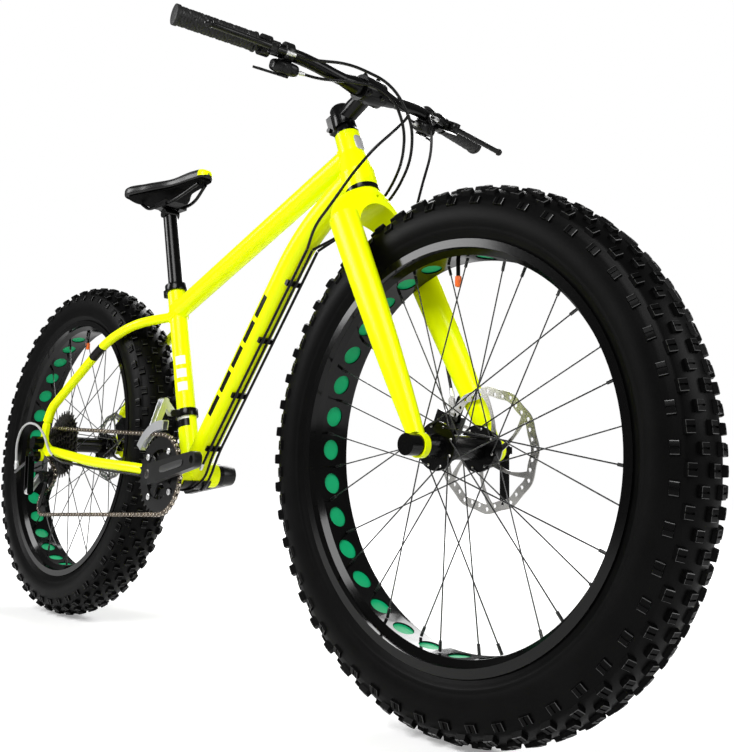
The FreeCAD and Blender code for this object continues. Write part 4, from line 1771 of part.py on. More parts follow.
def saddle_section(ahead, half, top_share):
    """Closed cross-section of the saddle: crowned top, drawn-in sides and a flat foot."""
    low_up = SADDLE_HEIGHT - SADDLE_THICKNESS
    edge_up = low_up + SADDLE_THICKNESS * top_share * SADDLE_SKIRT_SHARE
    foot = half * SADDLE_TUCK_SHARE
    waist = (half + foot) / 2 - (half - foot) / 4
    waist_up = (edge_up + low_up) / 2

    def at(out, up):
        return SADDLE_CLAMP + V(ahead, out, up)

    top = at(0, low_up + SADDLE_THICKNESS * top_share)
    crown = Part.Arc(at(-half, edge_up), top, at(half, edge_up)).toShape()
    left_side = Part.Arc(at(half, edge_up), at(waist, waist_up), at(foot, low_up)).toShape()
    floor = Part.makeLine(at(foot, low_up), at(-foot, low_up))
    right_side = Part.Arc(at(-foot, low_up), at(-waist, waist_up), at(-half, edge_up)).toShape()
    return Part.Wire([crown, left_side, floor, right_side])


def nose_up(solid):
    """The solid turned about the clamp so that the saddle's nose points a little upwards."""
    solid.rotate(SADDLE_CLAMP, LEFT, -SADDLE_TILT_DEG)
    return solid


def saddle_cover():
    return [nose_up(Part.makeLoft([saddle_section(*station) for station in saddle_stations()], True))]


def saddle_base():
    """Flat shell under the padding that carries the rails."""
    points = []
    for side in SIDES:
        row = [SADDLE_CLAMP + V(ahead, side * half * SADDLE_TUCK_SHARE, SADDLE_UNDERSIDE)
               for ahead, half, top_share in saddle_stations()]
        points += row if side < 0 else row[::-1]
    return [nose_up(prism(points, UP * (SADDLE_BASE_THICKNESS - RUNNING_GAP)))]


def cable(route):
    """One cable housing along its route."""
    points = [from_rear(*point) for point in route]
    solid = bent_rod(points, CABLE_RADIUS)
    path = bent_wire(points)
    ratio = solid.Volume / (path.Length * math.pi * CABLE_RADIUS ** 2)
    radii = [edge.Curve.Radius for edge in path.Edges if edge.Curve.TypeId == "Part::GeomCircle"]
    print("cable", round(path.Length), "mm long, volume ratio", round(ratio, 3),
          "least radius", round(min(radii), 1))
    return solid


def cable_clips():
    """Saddles under the down tube that carry the three housings."""
    bend = from_rear(DOWN_TUBE_BEND_AHEAD, 0, DOWN_TUBE_BEND_UP)
    along = bend - BRACKET
    along.normalize()
    under = LEFT.cross(along)
    top = from_rear(*GEAR_ROUTE[0])
    foot = from_rear(*GEAR_ROUTE[1])
    clips = []
    for share in CLIP_PLACE_SHARES:
        place = top + (foot - top) * share
        depth = (place - BRACKET).dot(under)
        axis_place = place - under * depth
        face = axis_place + under * (DOWN_TUBE_RADIUS + RUNNING_GAP * 2)
        room = depth - CABLE_RADIUS - RUNNING_GAP * 2 - DOWN_TUBE_RADIUS - RUNNING_GAP * 2
        clip = block(V(room / 2, 0, 0), room, CLIP_HALF_WIDTH * 2, CLIP_LENGTH)
        clips.append(placed(clip, face, under, LEFT))
    return clips


def frame_cables():
    return [cable(route) for route in (REAR_BRAKE_ROUTE, GEAR_ROUTE, FRONT_GEAR_ROUTE)] + cable_clips()


def steering_cables():
    routes = (REAR_BRAKE_LOOP_ROUTE, GEAR_LOOP_ROUTE, FRONT_GEAR_LOOP_ROUTE, FRONT_BRAKE_ROUTE)
    return [cable(route) for route in routes]


def bodies():
    """Every node of the bike with its solids."""
    gap_angles = roller_places()[1]
    yield "main_frame", main_frame()
    yield "rear_triangle", rear_triangle()
    yield "headset_cups", headset_cups()
    yield "bottom_bracket_cups", bracket_cups()
    yield "seat_clamp", seat_clamp()
    yield "frame_cables", frame_cables()
    yield "rear_caliper", rear_caliper()
    yield "rear_caliper_arm", caliper_arm(REAR_AXLE, ROTOR_REAR_OUT,
                                          ROTOR_REAR_RADIUS, CALIPER_REAR_DEG)
    yield "front_derailleur_clamp", front_derailleur_clamp()
    yield "front_derailleur_linkage", link(FRONT_LINK_TOP, FRONT_LINK_FOOT)
    yield "front_derailleur_cage", front_derailleur_cage()
    yield "rear_axle", axle(REAR_AXLE, REAR_DROPOUT_FACE, DROPOUT_THICKNESS)
    yield "rear_skewer_lever", skewer_lever(REAR_AXLE, REAR_DROPOUT_FACE, DROPOUT_THICKNESS)
    yield "chain", chain()
    yield "fork", fork()
    yield "headset_spacers", headset_spacers()
    yield "stem", stem()
    yield "stem_faceplate", stem_faceplate()
    yield "handlebar", handlebar()
    yield "grips", grips()
    yield "brake_lever_mounts", [brake_lever_mount(side) for side in SIDES]
    yield "brake_lever_right", [brake_lever(-1)]
    yield "brake_lever_left", [brake_lever(1)]
    yield "shifter_housings", [shifter_housing(side) for side in SIDES]
    yield "shift_lever_right", [shift_lever(-1)]
    yield "shift_lever_left", [shift_lever(1)]
    yield "steering_cables", steering_cables()
    yield "front_caliper", front_caliper()
    yield "front_caliper_arm", caliper_arm(FRONT_AXLE, ROTOR_FRONT_OUT,
                                           ROTOR_FRONT_RADIUS, CALIPER_FRONT_DEG)
    yield "front_axle", axle(FRONT_AXLE, FRONT_DROPOUT_FACE, FORK_EYE_THICKNESS)
    yield "front_skewer_lever", skewer_lever(FRONT_AXLE, FRONT_DROPOUT_FACE, FORK_EYE_THICKNESS)
    wheels = (("front", FRONT_AXLE, FRONT_WINDOW_DEG), ("rear", REAR_AXLE, REAR_WINDOW_DEG))
    for name, place, degrees in wheels:
        yield name + "_tire", tire(place)
        yield name + "_rim", rim(place, degrees)
        yield name + "_rim_strip", rim_strip(place, degrees)
        yield name + "_inner_tube", inner_tube(place, degrees)
    yield "front_spokes", spokes(FRONT_AXLE, FRONT_WINDOW_DEG, FRONT_FLANGE_RIGHT, FRONT_FLANGE_LEFT)
    yield "rear_spokes", spokes(REAR_AXLE, REAR_WINDOW_DEG, REAR_FLANGE_RIGHT, REAR_FLANGE_LEFT)
    yield "front_hub", front_hub()
    yield "rear_hub", rear_hub()
    yield "front_rotor", rotor(FRONT_AXLE, ROTOR_FRONT_OUT, ROTOR_FRONT_RADIUS)
    yield "rear_rotor", rotor(REAR_AXLE, ROTOR_REAR_OUT, ROTOR_REAR_RADIUS)
    yield "cassette", cassette()
    yield "crank_arm_right", crank_arm_right()
    yield "crank_arm_left", crank_arm_left()
    yield "chainrings", chainrings()
    yield "rear_derailleur_bracket", rear_derailleur_bracket()
    yield "rear_derailleur_linkage", link(LINK_TOP, LINK_FOOT)
    yield "rear_derailleur_knuckle", rear_derailleur_knuckle()
    yield "rear_derailleur_cage", rear_derailleur_cage()
    yield "tension_pulley", pulley(TENSION_PULLEY, gap_angles[2])
    yield "guide_pulley", pulley(GUIDE_PULLEY, gap_angles[3])
    yield "seatpost", seatpost()
    yield "saddle_clamp", saddle_clamp()
    yield "saddle_rails", saddle_rails()
    yield "saddle_base", saddle_base()
    yield "saddle_cover", saddle_cover()


os.makedirs("parts", exist_ok=True)
for node, shapes in bodies():
    save(node, shapes)
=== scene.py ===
# %% [markdown]
# # A fat tire bike
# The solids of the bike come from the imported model, and this lesson dresses them: it gives every
# solid a finish of its own, and replaces the ones whose looks need a finer surface, such as the
# tires, the chain, the grips and the saddle. All lengths are in metres, +X is the riding
# direction, +Y the rider's left and +Z up, with the origin on the ground midway between the axles.

# %% Load the solids
import json
import math

import bpy
import numpy as np
from mathutils import Matrix, Vector


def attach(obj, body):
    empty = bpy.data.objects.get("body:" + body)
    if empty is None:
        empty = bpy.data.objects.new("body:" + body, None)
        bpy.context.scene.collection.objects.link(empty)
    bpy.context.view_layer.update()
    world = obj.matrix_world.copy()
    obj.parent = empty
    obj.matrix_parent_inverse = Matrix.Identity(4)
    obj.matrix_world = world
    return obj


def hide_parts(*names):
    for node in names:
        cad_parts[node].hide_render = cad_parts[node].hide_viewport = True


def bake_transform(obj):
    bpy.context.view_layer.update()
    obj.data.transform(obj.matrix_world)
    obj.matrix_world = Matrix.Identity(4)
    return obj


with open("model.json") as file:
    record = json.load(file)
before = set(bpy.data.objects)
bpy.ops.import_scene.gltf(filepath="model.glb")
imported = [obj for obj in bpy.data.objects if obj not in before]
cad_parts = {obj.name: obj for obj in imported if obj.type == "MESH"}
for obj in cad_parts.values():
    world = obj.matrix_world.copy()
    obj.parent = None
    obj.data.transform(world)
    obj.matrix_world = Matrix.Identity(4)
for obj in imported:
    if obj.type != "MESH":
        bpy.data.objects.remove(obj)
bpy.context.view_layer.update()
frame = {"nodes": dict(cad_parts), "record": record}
nodes = frame["nodes"]

# %% [markdown]
# ## Places on the bike
# The finishes and the new surfaces have to land where the solids are, so the lesson repeats the
# few lengths that set the bike's stance. Two slanted lines carry most of it: the steering axis,
# which leans back at 68.6 degrees, and the seat tube, which leans back at 72.9 degrees.

# %% Stance
HALF_WHEELBASE_MM = 577.5
WHEEL_RADIUS = 0.372
REAR_AXLE = np.array([-HALF_WHEELBASE_MM / 1000, 0.0, WHEEL_RADIUS])
FRONT_AXLE = np.array([HALF_WHEELBASE_MM / 1000, 0.0, WHEEL_RADIUS])
AXLES = {"front": FRONT_AXLE, "rear": REAR_AXLE}
VALVE_DEGREES = {"front": 91.1, "rear": 96.7}
BRACKET = np.array([-0.0969, 0.0, 0.3165])
AHEAD, LEFT, UP = np.eye(3)


def leaning(degrees):
    """Unit direction in the side view that leans back from the ground: (-cos, 0, sin)."""
    angle = math.radians(degrees)
    return np.array([-math.cos(angle), 0.0, math.sin(angle)])


def unit(vectors):
    """Vectors divided by their own length."""
    vectors = np.asarray(vectors, float)
    return vectors / np.linalg.norm(vectors, axis=-1, keepdims=True)


STEER_AXIS = leaning(68.6)
STEER_AHEAD = np.cross(LEFT, STEER_AXIS)
SEAT_AXIS = leaning(72.9)
SEAT_AHEAD = np.cross(LEFT, SEAT_AXIS)
CROWN = FRONT_AXLE - STEER_AHEAD * 0.0499 + STEER_AXIS * 0.4616
BAR_MIDDLE = CROWN + STEER_AHEAD * 0.072 + STEER_AXIS * 0.173
SADDLE_CLAMP = BRACKET + SEAT_AXIS * 0.584
DOWN_TUBE_BEND = np.array([0.2125, 0.0, 0.737])
DOWN_TUBE_WAY = unit(DOWN_TUBE_BEND - BRACKET)
print("crown", CROWN.round(4), "bar", BAR_MIDDLE.round(4), "saddle clamp", SADDLE_CLAMP.round(4))

# %% [markdown]
# ## Camera
# The photograph was taken from low in front of the right side, close enough for the front wheel to
# loom. The camera stands where that perspective was solved, with its slight roll, and the frame is
# shifted a little because the picture is not centred on the lens axis.

# %% Camera
IMAGE_WIDTH, IMAGE_HEIGHT = 734.0, 752.0
FOCAL_PIXELS = 846.9
LENS_AXIS_PIXEL = (379.0, 275.5)
SENSOR_MM = 36.0
CAMERA_PLACE = (1.3585, -0.9158, 0.3396)
CAMERA_TURN = {"azimuth": 46.11, "elevation": -12.85, "roll": 1.89}


def look_axes(azimuth, elevation, roll):
    """Camera right, up and back directions from its azimuth, elevation and roll in degrees."""
    a, e, r = (math.radians(v) for v in (azimuth, elevation, roll))
    back = np.array([math.sin(a) * math.cos(e), -math.cos(a) * math.cos(e), math.sin(e)])
    right = unit(np.cross(UP, back))
    up = np.cross(back, right)
    return (math.cos(r) * right + math.sin(r) * up,
            -math.sin(r) * right + math.cos(r) * up, back)


camera = bpy.data.objects.new("camera", bpy.data.cameras.new("camera"))
bpy.context.collection.objects.link(camera)
camera.matrix_world = Matrix.Translation(CAMERA_PLACE) @ Matrix(
    np.stack(look_axes(**CAMERA_TURN), 1).tolist()).to_4x4()
camera.data.sensor_width = SENSOR_MM
camera.data.lens = FOCAL_PIXELS * SENSOR_MM / IMAGE_HEIGHT
camera.data.shift_x = (IMAGE_WIDTH / 2 - LENS_AXIS_PIXEL[0]) / IMAGE_HEIGHT
camera.data.shift_y = (LENS_AXIS_PIXEL[1] - IMAGE_HEIGHT / 2) / IMAGE_HEIGHT
camera.data.clip_start = 0.02
bpy.context.scene.camera = camera
print("lens", round(camera.data.lens, 1), "mm")

# %% [markdown]
# ## Helpers for new surfaces
# A new piece is a grid of points worked out with numpy. Neighbouring points of the grid become
# quads, and a grid that closes on itself joins its last row or column to its first. Nearly every
# shape on a bike is a set of rings: a turned bolt, a lofted saddle, a bead of weld along a joint.

# %% Angles and directions
def full_turn(count):
    """Equal angles round a full turn, from zero."""
    return np.linspace(0, 2 * np.pi, count, endpoint=False)


def wheel_way(angle):
    """Directions in the side view, (cos, 0, sin) of the angles from ahead towards up."""
    return np.stack([np.cos(angle), 0 * angle, np.sin(angle)], -1)


def ring_ways(way, side, count):
    """Directions round each way: side * cos + (way x side) * sin, a row of count for each."""
    angle = full_turn(count)[None, :, None]
    return np.cos(angle) * side[:, None] + np.sin(angle) * np.cross(way, side)[:, None]


def power(wave, share):
    """A sine or cosine raised to a share of its size, which squares off a circle."""
    return np.sign(wave) * np.abs(wave) ** share


print("four steps round a turn:", full_turn(4).round(3).tolist())


# %% Grids and rings
def grid_faces(rows, columns, loop_rows=False, loop_columns=False):
    """Quads (i, j), (i, j+1), (i+1, j+1), (i+1, j) over a grid whose rows or columns may close."""
    index = np.arange(rows * columns).reshape(rows, columns)
    if loop_rows:
        index = np.vstack([index, index[:1]])
    if loop_columns:
        index = np.hstack([index, index[:, :1]])
    corners = [index[:-1, :-1], index[:-1, 1:], index[1:, 1:], index[1:, :-1]]
    return np.stack(corners, -1).reshape(-1, 4)


def outward(points, faces):
    """The shape with its quads turned out, so that the cones from the origin sum above zero."""
    a, b, c, d = (points[faces[:, k]] for k in range(4))
    volume = np.sum(a * np.cross(b, c)) + np.sum(a * np.cross(c, d))
    return points, faces if volume > 0 else faces[:, ::-1]


def lofted(rings):
    """Closed shape through rings: quads from ring to ring, and rows of quads over both ends."""
    rows, columns = rings.shape[:2]
    i = np.arange(columns // 2 - 1)
    strip = np.stack([i, i + 1, columns - 2 - i, columns - 1 - i], 1)
    sides = grid_faces(rows, columns, loop_columns=True)
    faces = np.vstack([sides, strip[:, ::-1], strip + (rows - 1) * columns])
    return outward(rings.reshape(-1, 3), faces)


def hoop(rings):
    """Closed shape through rings whose last one joins the first."""
    faces = grid_faces(*rings.shape[:2], loop_rows=True, loop_columns=True)
    return outward(rings.reshape(-1, 3), faces)


def turned(along, radius, origin, axis, count):
    """Rings about an axis: origin + axis * along + radius * (side * cos + other side * sin)."""
    axis = unit(axis)
    side = unit(np.cross(axis, LEFT if abs(axis[1]) < 0.9 else AHEAD))
    spin = ring_ways(axis[None], side[None], count)[0]
    radius = np.broadcast_to(np.reshape(radius, (len(along), -1)), (len(along), count))
    return np.asarray(origin) + np.asarray(along)[:, None, None] * axis + radius[..., None] * spin


# %% Copies
def frames(origin, x_axis, y_axis, z_axis):
    """Stack of 4 by 4 placements with these origins and axes, one per row."""
    place = np.zeros((len(origin), 4, 4))
    place[:, :3] = np.stack([x_axis, y_axis, z_axis, origin], -1)
    place[:, 3, 3] = 1.0
    return place


def many(shape, places):
    """Copies of one small shape: places is (count, 4, 4), and every copy keeps its faces."""
    points, faces = shape
    wide = np.c_[points, np.ones(len(points))]
    moved = np.einsum("nij,pj->npi", places, wide)[..., :3].reshape(-1, 3)
    steps = np.arange(len(places)) * len(points)
    return moved, (faces[None] + steps[:, None, None]).reshape(-1, 4)


def joined(*shapes):
    """One array of points and one of faces out of several (points, faces) pairs."""
    starts = np.cumsum([0] + [len(points) for points, faces in shapes[:-1]])
    return (np.concatenate([points for points, faces in shapes]),
            np.concatenate([faces + start for (points, faces), start in zip(shapes, starts)]))


# %% Pieces
SMOOTH_LIMIT = math.radians(40)


def mesh_piece(name, shape):
    """Object with this shape's points and faces, smooth except over edges past 40 degrees."""
    mesh = bpy.data.meshes.new(name)
    mesh.from_pydata(shape[0].tolist(), [], shape[1].tolist())
    mesh.polygons.foreach_set("use_smooth", np.ones(len(mesh.polygons), bool))
    mesh.set_sharp_from_angle(angle=SMOOTH_LIMIT)
    piece = bpy.data.objects.new(name, mesh)
    bpy.context.collection.objects.link(piece)
    return piece


def dressed(name, shape, body, slot, material, *replaced):
    """Hang a finished piece on its body, with its finish and the solids that it stands for."""
    piece = mesh_piece(name, shape)
    piece.data.materials.append(material)
    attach(piece, body)
    if replaced:
        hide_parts(*replaced)
    print(name, len(piece.data.polygons), "faces on", body)
    return piece


def second_finish(piece, material, mask):
    """Give the faces whose mask is true a second finish."""
    piece.data.materials.append(material)
    piece.data.polygons.foreach_set("material_index", mask.astype(np.int32))


print("pieces are smooth up to", round(math.degrees(SMOOTH_LIMIT)), "degrees")


# %% [markdown]
# ## Shared effects
# Most finishes need the same two things: a fine grain that breaks up the gloss, and soft marks
# such as dust or handling that make broad patches a little duller. Each is a node group, built
# once, with inputs that let every material set its own scale and amount.

# %% Effect groups
def effect_group(name, inputs, outputs):
    """Empty shader node group with named value inputs (with defaults) and value outputs."""
    group = bpy.data.node_groups.new(name, "ShaderNodeTree")
    for label, default in inputs.items():
        socket = group.interface.new_socket(label, in_out="INPUT", socket_type="NodeSocketFloat")
        socket.default_value = default
    for label in outputs:
        group.interface.new_socket(label, in_out="OUTPUT", socket_type="NodeSocketFloat")
    return group, group.nodes.new("NodeGroupInput"), group.nodes.new("NodeGroupOutput")


def add_node(tree, kind, links=(), **values):
    """Node of a kind; values set its properties or, where there is none so named, its inputs."""
    node = tree.nodes.new(kind)
    for key, value in values.items():
        if hasattr(node, key):
            setattr(node, key, value)
        else:
            node.inputs[key.replace("_", " ")].default_value = value
    for source, target in links:
        tree.links.new(source, node.inputs[target])
    return node


grain, grain_in, grain_out = effect_group(
    "fine grain", {"Scale": 400.0, "Low": 0.3, "High": 0.4}, ("Height", "Roughness"))
grain_place = add_node(grain, "ShaderNodeTexCoord")
grain_noise = add_node(grain, "ShaderNodeTexNoise", [
    (grain_place.outputs["Object"], "Vector"), (grain_in.outputs["Scale"], "Scale")], Detail=3.0)
grain_range = add_node(grain, "ShaderNodeMapRange", [
    (grain_noise.outputs["Fac"], "Value"), (grain_in.outputs["Low"], "To Min"),
    (grain_in.outputs["High"], "To Max")])
grain.links.new(grain_noise.outputs["Fac"], grain_out.inputs["Height"])
grain.links.new(grain_range.outputs["Result"], grain_out.inputs["Roughness"])

patches, patch_in, patch_out = effect_group(
    "soft patches", {"Scale": 9.0, "Edge": 0.5, "Blend": 0.18}, ("Mask",))
patch_place = add_node(patches, "ShaderNodeTexCoord")
patch_noise = add_node(patches, "ShaderNodeTexNoise", [
    (patch_place.outputs["Object"], "Vector"), (patch_in.outputs["Scale"], "Scale")], Detail=5.0)
patch_edges = [(patch_in.outputs["Edge"], 0), (patch_in.outputs["Blend"], 1)]
patch_low = add_node(patches, "ShaderNodeMath", patch_edges, operation="SUBTRACT")
patch_high = add_node(patches, "ShaderNodeMath", patch_edges, operation="ADD")
patch_range = add_node(patches, "ShaderNodeMapRange", [
    (patch_noise.outputs["Fac"], "Value"), (patch_low.outputs[0], "From Min"),
    (patch_high.outputs[0], "From Max")])
patches.links.new(patch_range.outputs["Result"], patch_out.inputs["Mask"])
print("effect groups:", [group.name for group in bpy.data.node_groups])

# %% [markdown]
# ## Finishes
# A finish starts as one Principled shader. The maker sets its plain numbers on the shader's own
# sockets, and the groups above feed only what changes over the surface: base colour, roughness and
# the height of a bump.

# %% Finish maker
COAT_ROUGHNESS = 0.08
GRAIN_DEPTH = 0.0004
PATCH_EDGE, PATCH_BLEND = 0.55, 0.2


def rgba(color):
    """Colour with full alpha, where a single number is a neutral grey."""
    return (*np.broadcast_to(color, 3).tolist(), 1.0)


def finish_of(name, color, other, rough, grain_scale, bump, metallic=0.0, coat=0.0, shine=0.5,
              patch=9.0):
    """Material whose colour drifts to another in patches; rough is (least, most) roughness."""
    material = bpy.data.materials.new(name)
    material.use_nodes = True
    tree = material.node_tree
    shader = tree.nodes["Principled BSDF"]
    shader.inputs["Metallic"].default_value = metallic
    shader.inputs["Specular IOR Level"].default_value = shine
    shader.inputs["Coat Weight"].default_value = coat
    shader.inputs["Coat Roughness"].default_value = COAT_ROUGHNESS
    fine = add_node(tree, "ShaderNodeGroup", node_tree=grain, Scale=grain_scale,
                    Low=rough[0], High=rough[1])
    tree.links.new(fine.outputs["Roughness"], shader.inputs["Roughness"])
    broad = add_node(tree, "ShaderNodeGroup", node_tree=patches, Scale=patch,
                     Edge=PATCH_EDGE, Blend=PATCH_BLEND)
    mix = add_node(tree, "ShaderNodeMix", [(broad.outputs["Mask"], "Factor")], data_type="RGBA")
    mix.inputs["A"].default_value = rgba(color)
    mix.inputs["B"].default_value = rgba(other)
    tree.links.new(mix.outputs["Result"], shader.inputs["Base Color"])
    lift = add_node(tree, "ShaderNodeBump", [(fine.outputs["Height"], "Height")], Strength=bump,
                    Distance=GRAIN_DEPTH)
    tree.links.new(lift.outputs["Normal"], shader.inputs["Normal"])
    return material


# %% Paints, rubbers and plastics
NEON_LOOK = ((0.86, 0.98, 0.0), (0.80, 0.94, 0.0), (0.24, 0.30), 900.0, 0.02)
neon, neon_frame, neon_stays = (
    finish_of(name, *NEON_LOOK, coat=0.08, shine=0.10)
    for name in ("neon paint", "neon frame paint", "neon stay paint"))
rim_black = finish_of("gloss black rim", 0.0012, 0.002, (0.08, 0.15), 500.0, 0.02, shine=0.22)
satin_black = finish_of("satin black", 0.001, 0.002, (0.16, 0.26), 700.0, 0.05, shine=0.20)
black_plastic = finish_of("black plastic", 0.002, 0.004, (0.26, 0.38), 1200.0, 0.10, shine=0.25)
HOUSING_LOOK = (0.002, 0.003, (0.22, 0.32), 600.0, 0.03)
housing_black, rear_housing = (
    finish_of(name, *HOUSING_LOOK, shine=0.2) for name in ("cable housing", "rear cable housing"))
tire_black = finish_of("tire rubber", 0.0008, 0.0018, (0.34, 0.48), 700.0, 0.16, shine=0.06,
                       patch=24.0)
# Paler rubber for the knob edges: partly scuffing, partly a painted highlight along the edges.
scuff_and_highlight_rubber = finish_of("scuffed rubber with painted highlight", 0.05, 0.02, (0.3, 0.42), 900.0, 0.1, shine=0.4,
                        patch=40.0)
grip_black = finish_of("grip rubber", 0.005, 0.010, (0.40, 0.54), 1500.0, 0.2, shine=0.30)
saddle_black = finish_of("saddle cover", 0.002, 0.004, (0.26, 0.36), 1500.0, 0.2, shine=0.30)
base_black = finish_of("saddle base", 0.001, 0.002, (0.6, 0.7), 1200.0, 0.1, shine=0.03)
teal = finish_of("teal rim strip", (0.0, 0.33, 0.12), (0.0, 0.38, 0.15), (0.45, 0.6), 1600.0, 0.2,
                 shine=0.2)
orange = finish_of("orange cap", (0.9, 0.16, 0.01), (0.75, 0.12, 0.01), (0.3, 0.4), 900.0, 0.05)
badge_grey = finish_of("badge plate", 0.48, 0.40, (0.34, 0.44), 1100.0, 0.06, metallic=0.3)

# %% Metals
black_alloy = finish_of("anodised black", 0.010, 0.016, (0.16, 0.26), 900.0, 0.04, 0.5, shine=0.3)
crank_grey = finish_of("forged crank", 0.012, 0.020, (0.28, 0.38), 900.0, 0.06, 0.4, shine=0.3)
spoke_steel = finish_of("black spoke steel", 0.05, 0.035, (0.22, 0.32), 900.0, 0.02, 0.8)
stainless = finish_of("stainless steel", (0.56, 0.55, 0.53), (0.46, 0.45, 0.43), (0.22, 0.34),
                      1400.0, 0.05, 1.0)
dark_steel = finish_of("dark steel", (0.12, 0.115, 0.11), (0.07, 0.066, 0.062), (0.3, 0.42),
                       900.0, 0.05, 1.0)
ring_black = finish_of("black chainring steel", 0.03, 0.02, (0.26, 0.36), 900.0, 0.05, 0.8)
chain_steel = finish_of("chain steel", (0.20, 0.16, 0.12), (0.12, 0.10, 0.08), (0.28, 0.42),
                        1200.0, 0.05, 1.0)
roller_steel = finish_of("chain roller steel", (0.62, 0.56, 0.48), (0.5, 0.44, 0.37), (0.2, 0.3),
                         1200.0, 0.04, 1.0)
silver_alloy = finish_of("silver alloy", 0.72, 0.60, (0.36, 0.48), 1100.0, 0.04, 1.0)
cage_steel = finish_of("cage steel", (0.74, 0.75, 0.76), (0.62, 0.63, 0.64), (0.34, 0.44),
                       1100.0, 0.03, 1.0)
print(len(bpy.data.materials), "materials")

# %% [markdown]
# ## Printed bands
# The frame carries a few plain printed bands: black dashes along the right of the down tube, white
# bars up the seat tube with a dark label near its foot, and a short dark band on the stays. The
# rear loop of the gear cable has a grey housing. A band is a slab in space, the places whose
# distance along some direction is near a centre, so a mask made of two or three slabs cuts a patch
# out of a tube without any unwrapping.

# %% Band masks
def slab(tree, way, centre, half):
    """Mask that is one where the object position along a way lies within half of the centre."""
    place = add_node(tree, "ShaderNodeTexCoord")
    along = add_node(tree, "ShaderNodeVectorMath", [(place.outputs["Object"], 0)],
                     operation="DOT_PRODUCT")
    along.inputs[1].default_value = way
    near = add_node(tree, "ShaderNodeMath", [(along.outputs["Value"], 0)], operation="COMPARE")
    near.inputs[1].default_value = centre
    near.inputs[2].default_value = half
    return near.outputs[0]


def merged(tree, operation, *masks):
    """Masks put together two by two, MULTIPLY for all of them and MAXIMUM for any of them."""
    mask = masks[0]
    for other in masks[1:]:
        both = add_node(tree, "ShaderNodeMath", [(mask, 0), (other, 1)], operation=operation)
        mask = both.outputs[0]
    return mask


def slabs_from(tree, origin, way, places, half):
    """Mask of every slab that lies at one of these distances from an origin along a way."""
    start = float(np.dot(origin, way))
    return merged(tree, "MAXIMUM", *[slab(tree, way, start + place, half) for place in places])


def print_on(material, color, *masks):
    """Lay a printed colour over a finish where all the masks are one."""
    tree = material.node_tree
    base = tree.nodes["Principled BSDF"].inputs["Base Color"]
    mask = merged(tree, "MULTIPLY", *masks)
    mix = add_node(tree, "ShaderNodeMix", [
        (mask, "Factor"), (base.links[0].from_socket, "A")], data_type="RGBA")
    mix.inputs["B"].default_value = rgba(color)
    tree.links.new(mix.outputs["Result"], base)


# %% Bands on the frame
DASH_BLACK, BAR_WHITE, LABEL_BLACK, LINE_WHITE, LOOP_GREY = 0.005, 0.85, 0.006, 0.8, 0.42
DASH_PLACES, DASH_HALF, DASH_HALF_HEIGHT = np.arange(0.16, 0.38, 0.054), 0.022, 0.006
BAR_PLACES, BAR_HALF = (0.176, 0.204, 0.232), 0.009
BAR_FACE, BAR_FACE_HALF = 0.0180, 0.0022
LABEL_BANDS = ((0.110, 0.016, LABEL_BLACK), (0.112, 0.003, LINE_WHITE))
STAY_FOOT, STAY_WAY = np.array([-0.5635, 0.0, 0.452]), unit([0.191, 0.0, 0.140])
STAY_BAND, STAY_BAND_HALF = 0.200, 0.020
frame_tree = neon_frame.node_tree
print_on(neon_frame, DASH_BLACK,
         slabs_from(frame_tree, BRACKET, DOWN_TUBE_WAY, DASH_PLACES, DASH_HALF),
         slabs_from(frame_tree, BRACKET, np.cross(LEFT, DOWN_TUBE_WAY), [0.0],
                    DASH_HALF_HEIGHT),
         slab(frame_tree, -LEFT, 0.020, 0.010))
on_seat_tube = slabs_from(frame_tree, BRACKET, SEAT_AHEAD, [0.0], 0.030)
print_on(neon_frame, BAR_WHITE,
         slabs_from(frame_tree, BRACKET, SEAT_AXIS, BAR_PLACES, BAR_HALF), on_seat_tube,
         slabs_from(frame_tree, BRACKET, unit(SEAT_AHEAD - LEFT), [BAR_FACE],
                    BAR_FACE_HALF))
label_side = slab(frame_tree, -LEFT, 0.014, 0.008)
for place, half, color in LABEL_BANDS:
    print_on(neon_frame, color, slabs_from(frame_tree, BRACKET, SEAT_AXIS, [place], half),
             on_seat_tube, label_side)
print(len(DASH_PLACES), "dashes and", len(BAR_PLACES), "bars printed on", neon_frame.name)

# %% Bands on the stays and the rear cable
stay_tree, housing_tree = neon_stays.node_tree, rear_housing.node_tree
print_on(neon_stays, LABEL_BLACK,
         slabs_from(stay_tree, STAY_FOOT, STAY_WAY, [STAY_BAND], STAY_BAND_HALF),
         slab(stay_tree, UP, 0.57, 0.06))
print_on(rear_housing, LOOP_GREY, slab(housing_tree, AHEAD, -0.60, 0.105),
         slab(housing_tree, -LEFT, 0.11, 0.06))
print("bands printed on", neon_stays.name, "and", rear_housing.name)

# %% [markdown]
# ## Finishes on the solids
# Each solid knows its material slot from the record, and a table gives every slot its finish. A
# few solids differ from the rest of their slot, such as the glossy rims and the dark spokes.

# %% Finishes on the solids
FINISH_OF_SLOT = {
    "neon_paint": neon, "black_metal": satin_black, "black_levers": black_alloy,
    "black_plastic": black_plastic, "housing_plastic": housing_black, "grip_rubber": grip_black,
    "tire_rubber": tire_black, "tube_rubber": tire_black, "teal_strip": teal,
    "stainless": stainless, "dark_steel": dark_steel, "chain_steel": chain_steel,
    "silver_alloy": silver_alloy, "black_rail": satin_black, "saddle_leather": saddle_black}
FINISH_OF_NODE = {
    "main_frame": neon_frame, "rear_triangle": neon_stays, "frame_cables": rear_housing,
    "front_rim": rim_black, "rear_rim": rim_black, "front_axle": rim_black, "rear_axle": rim_black,
    "front_spokes": spoke_steel, "rear_spokes": spoke_steel, "chainrings": ring_black,
    "crank_arm_right": crank_grey, "crank_arm_left": crank_grey,
    "front_derailleur_cage": cage_steel, "front_derailleur_linkage": cage_steel,
    "rear_derailleur_cage": black_alloy, "rear_derailleur_knuckle": black_alloy,
    "rear_derailleur_linkage": silver_alloy}
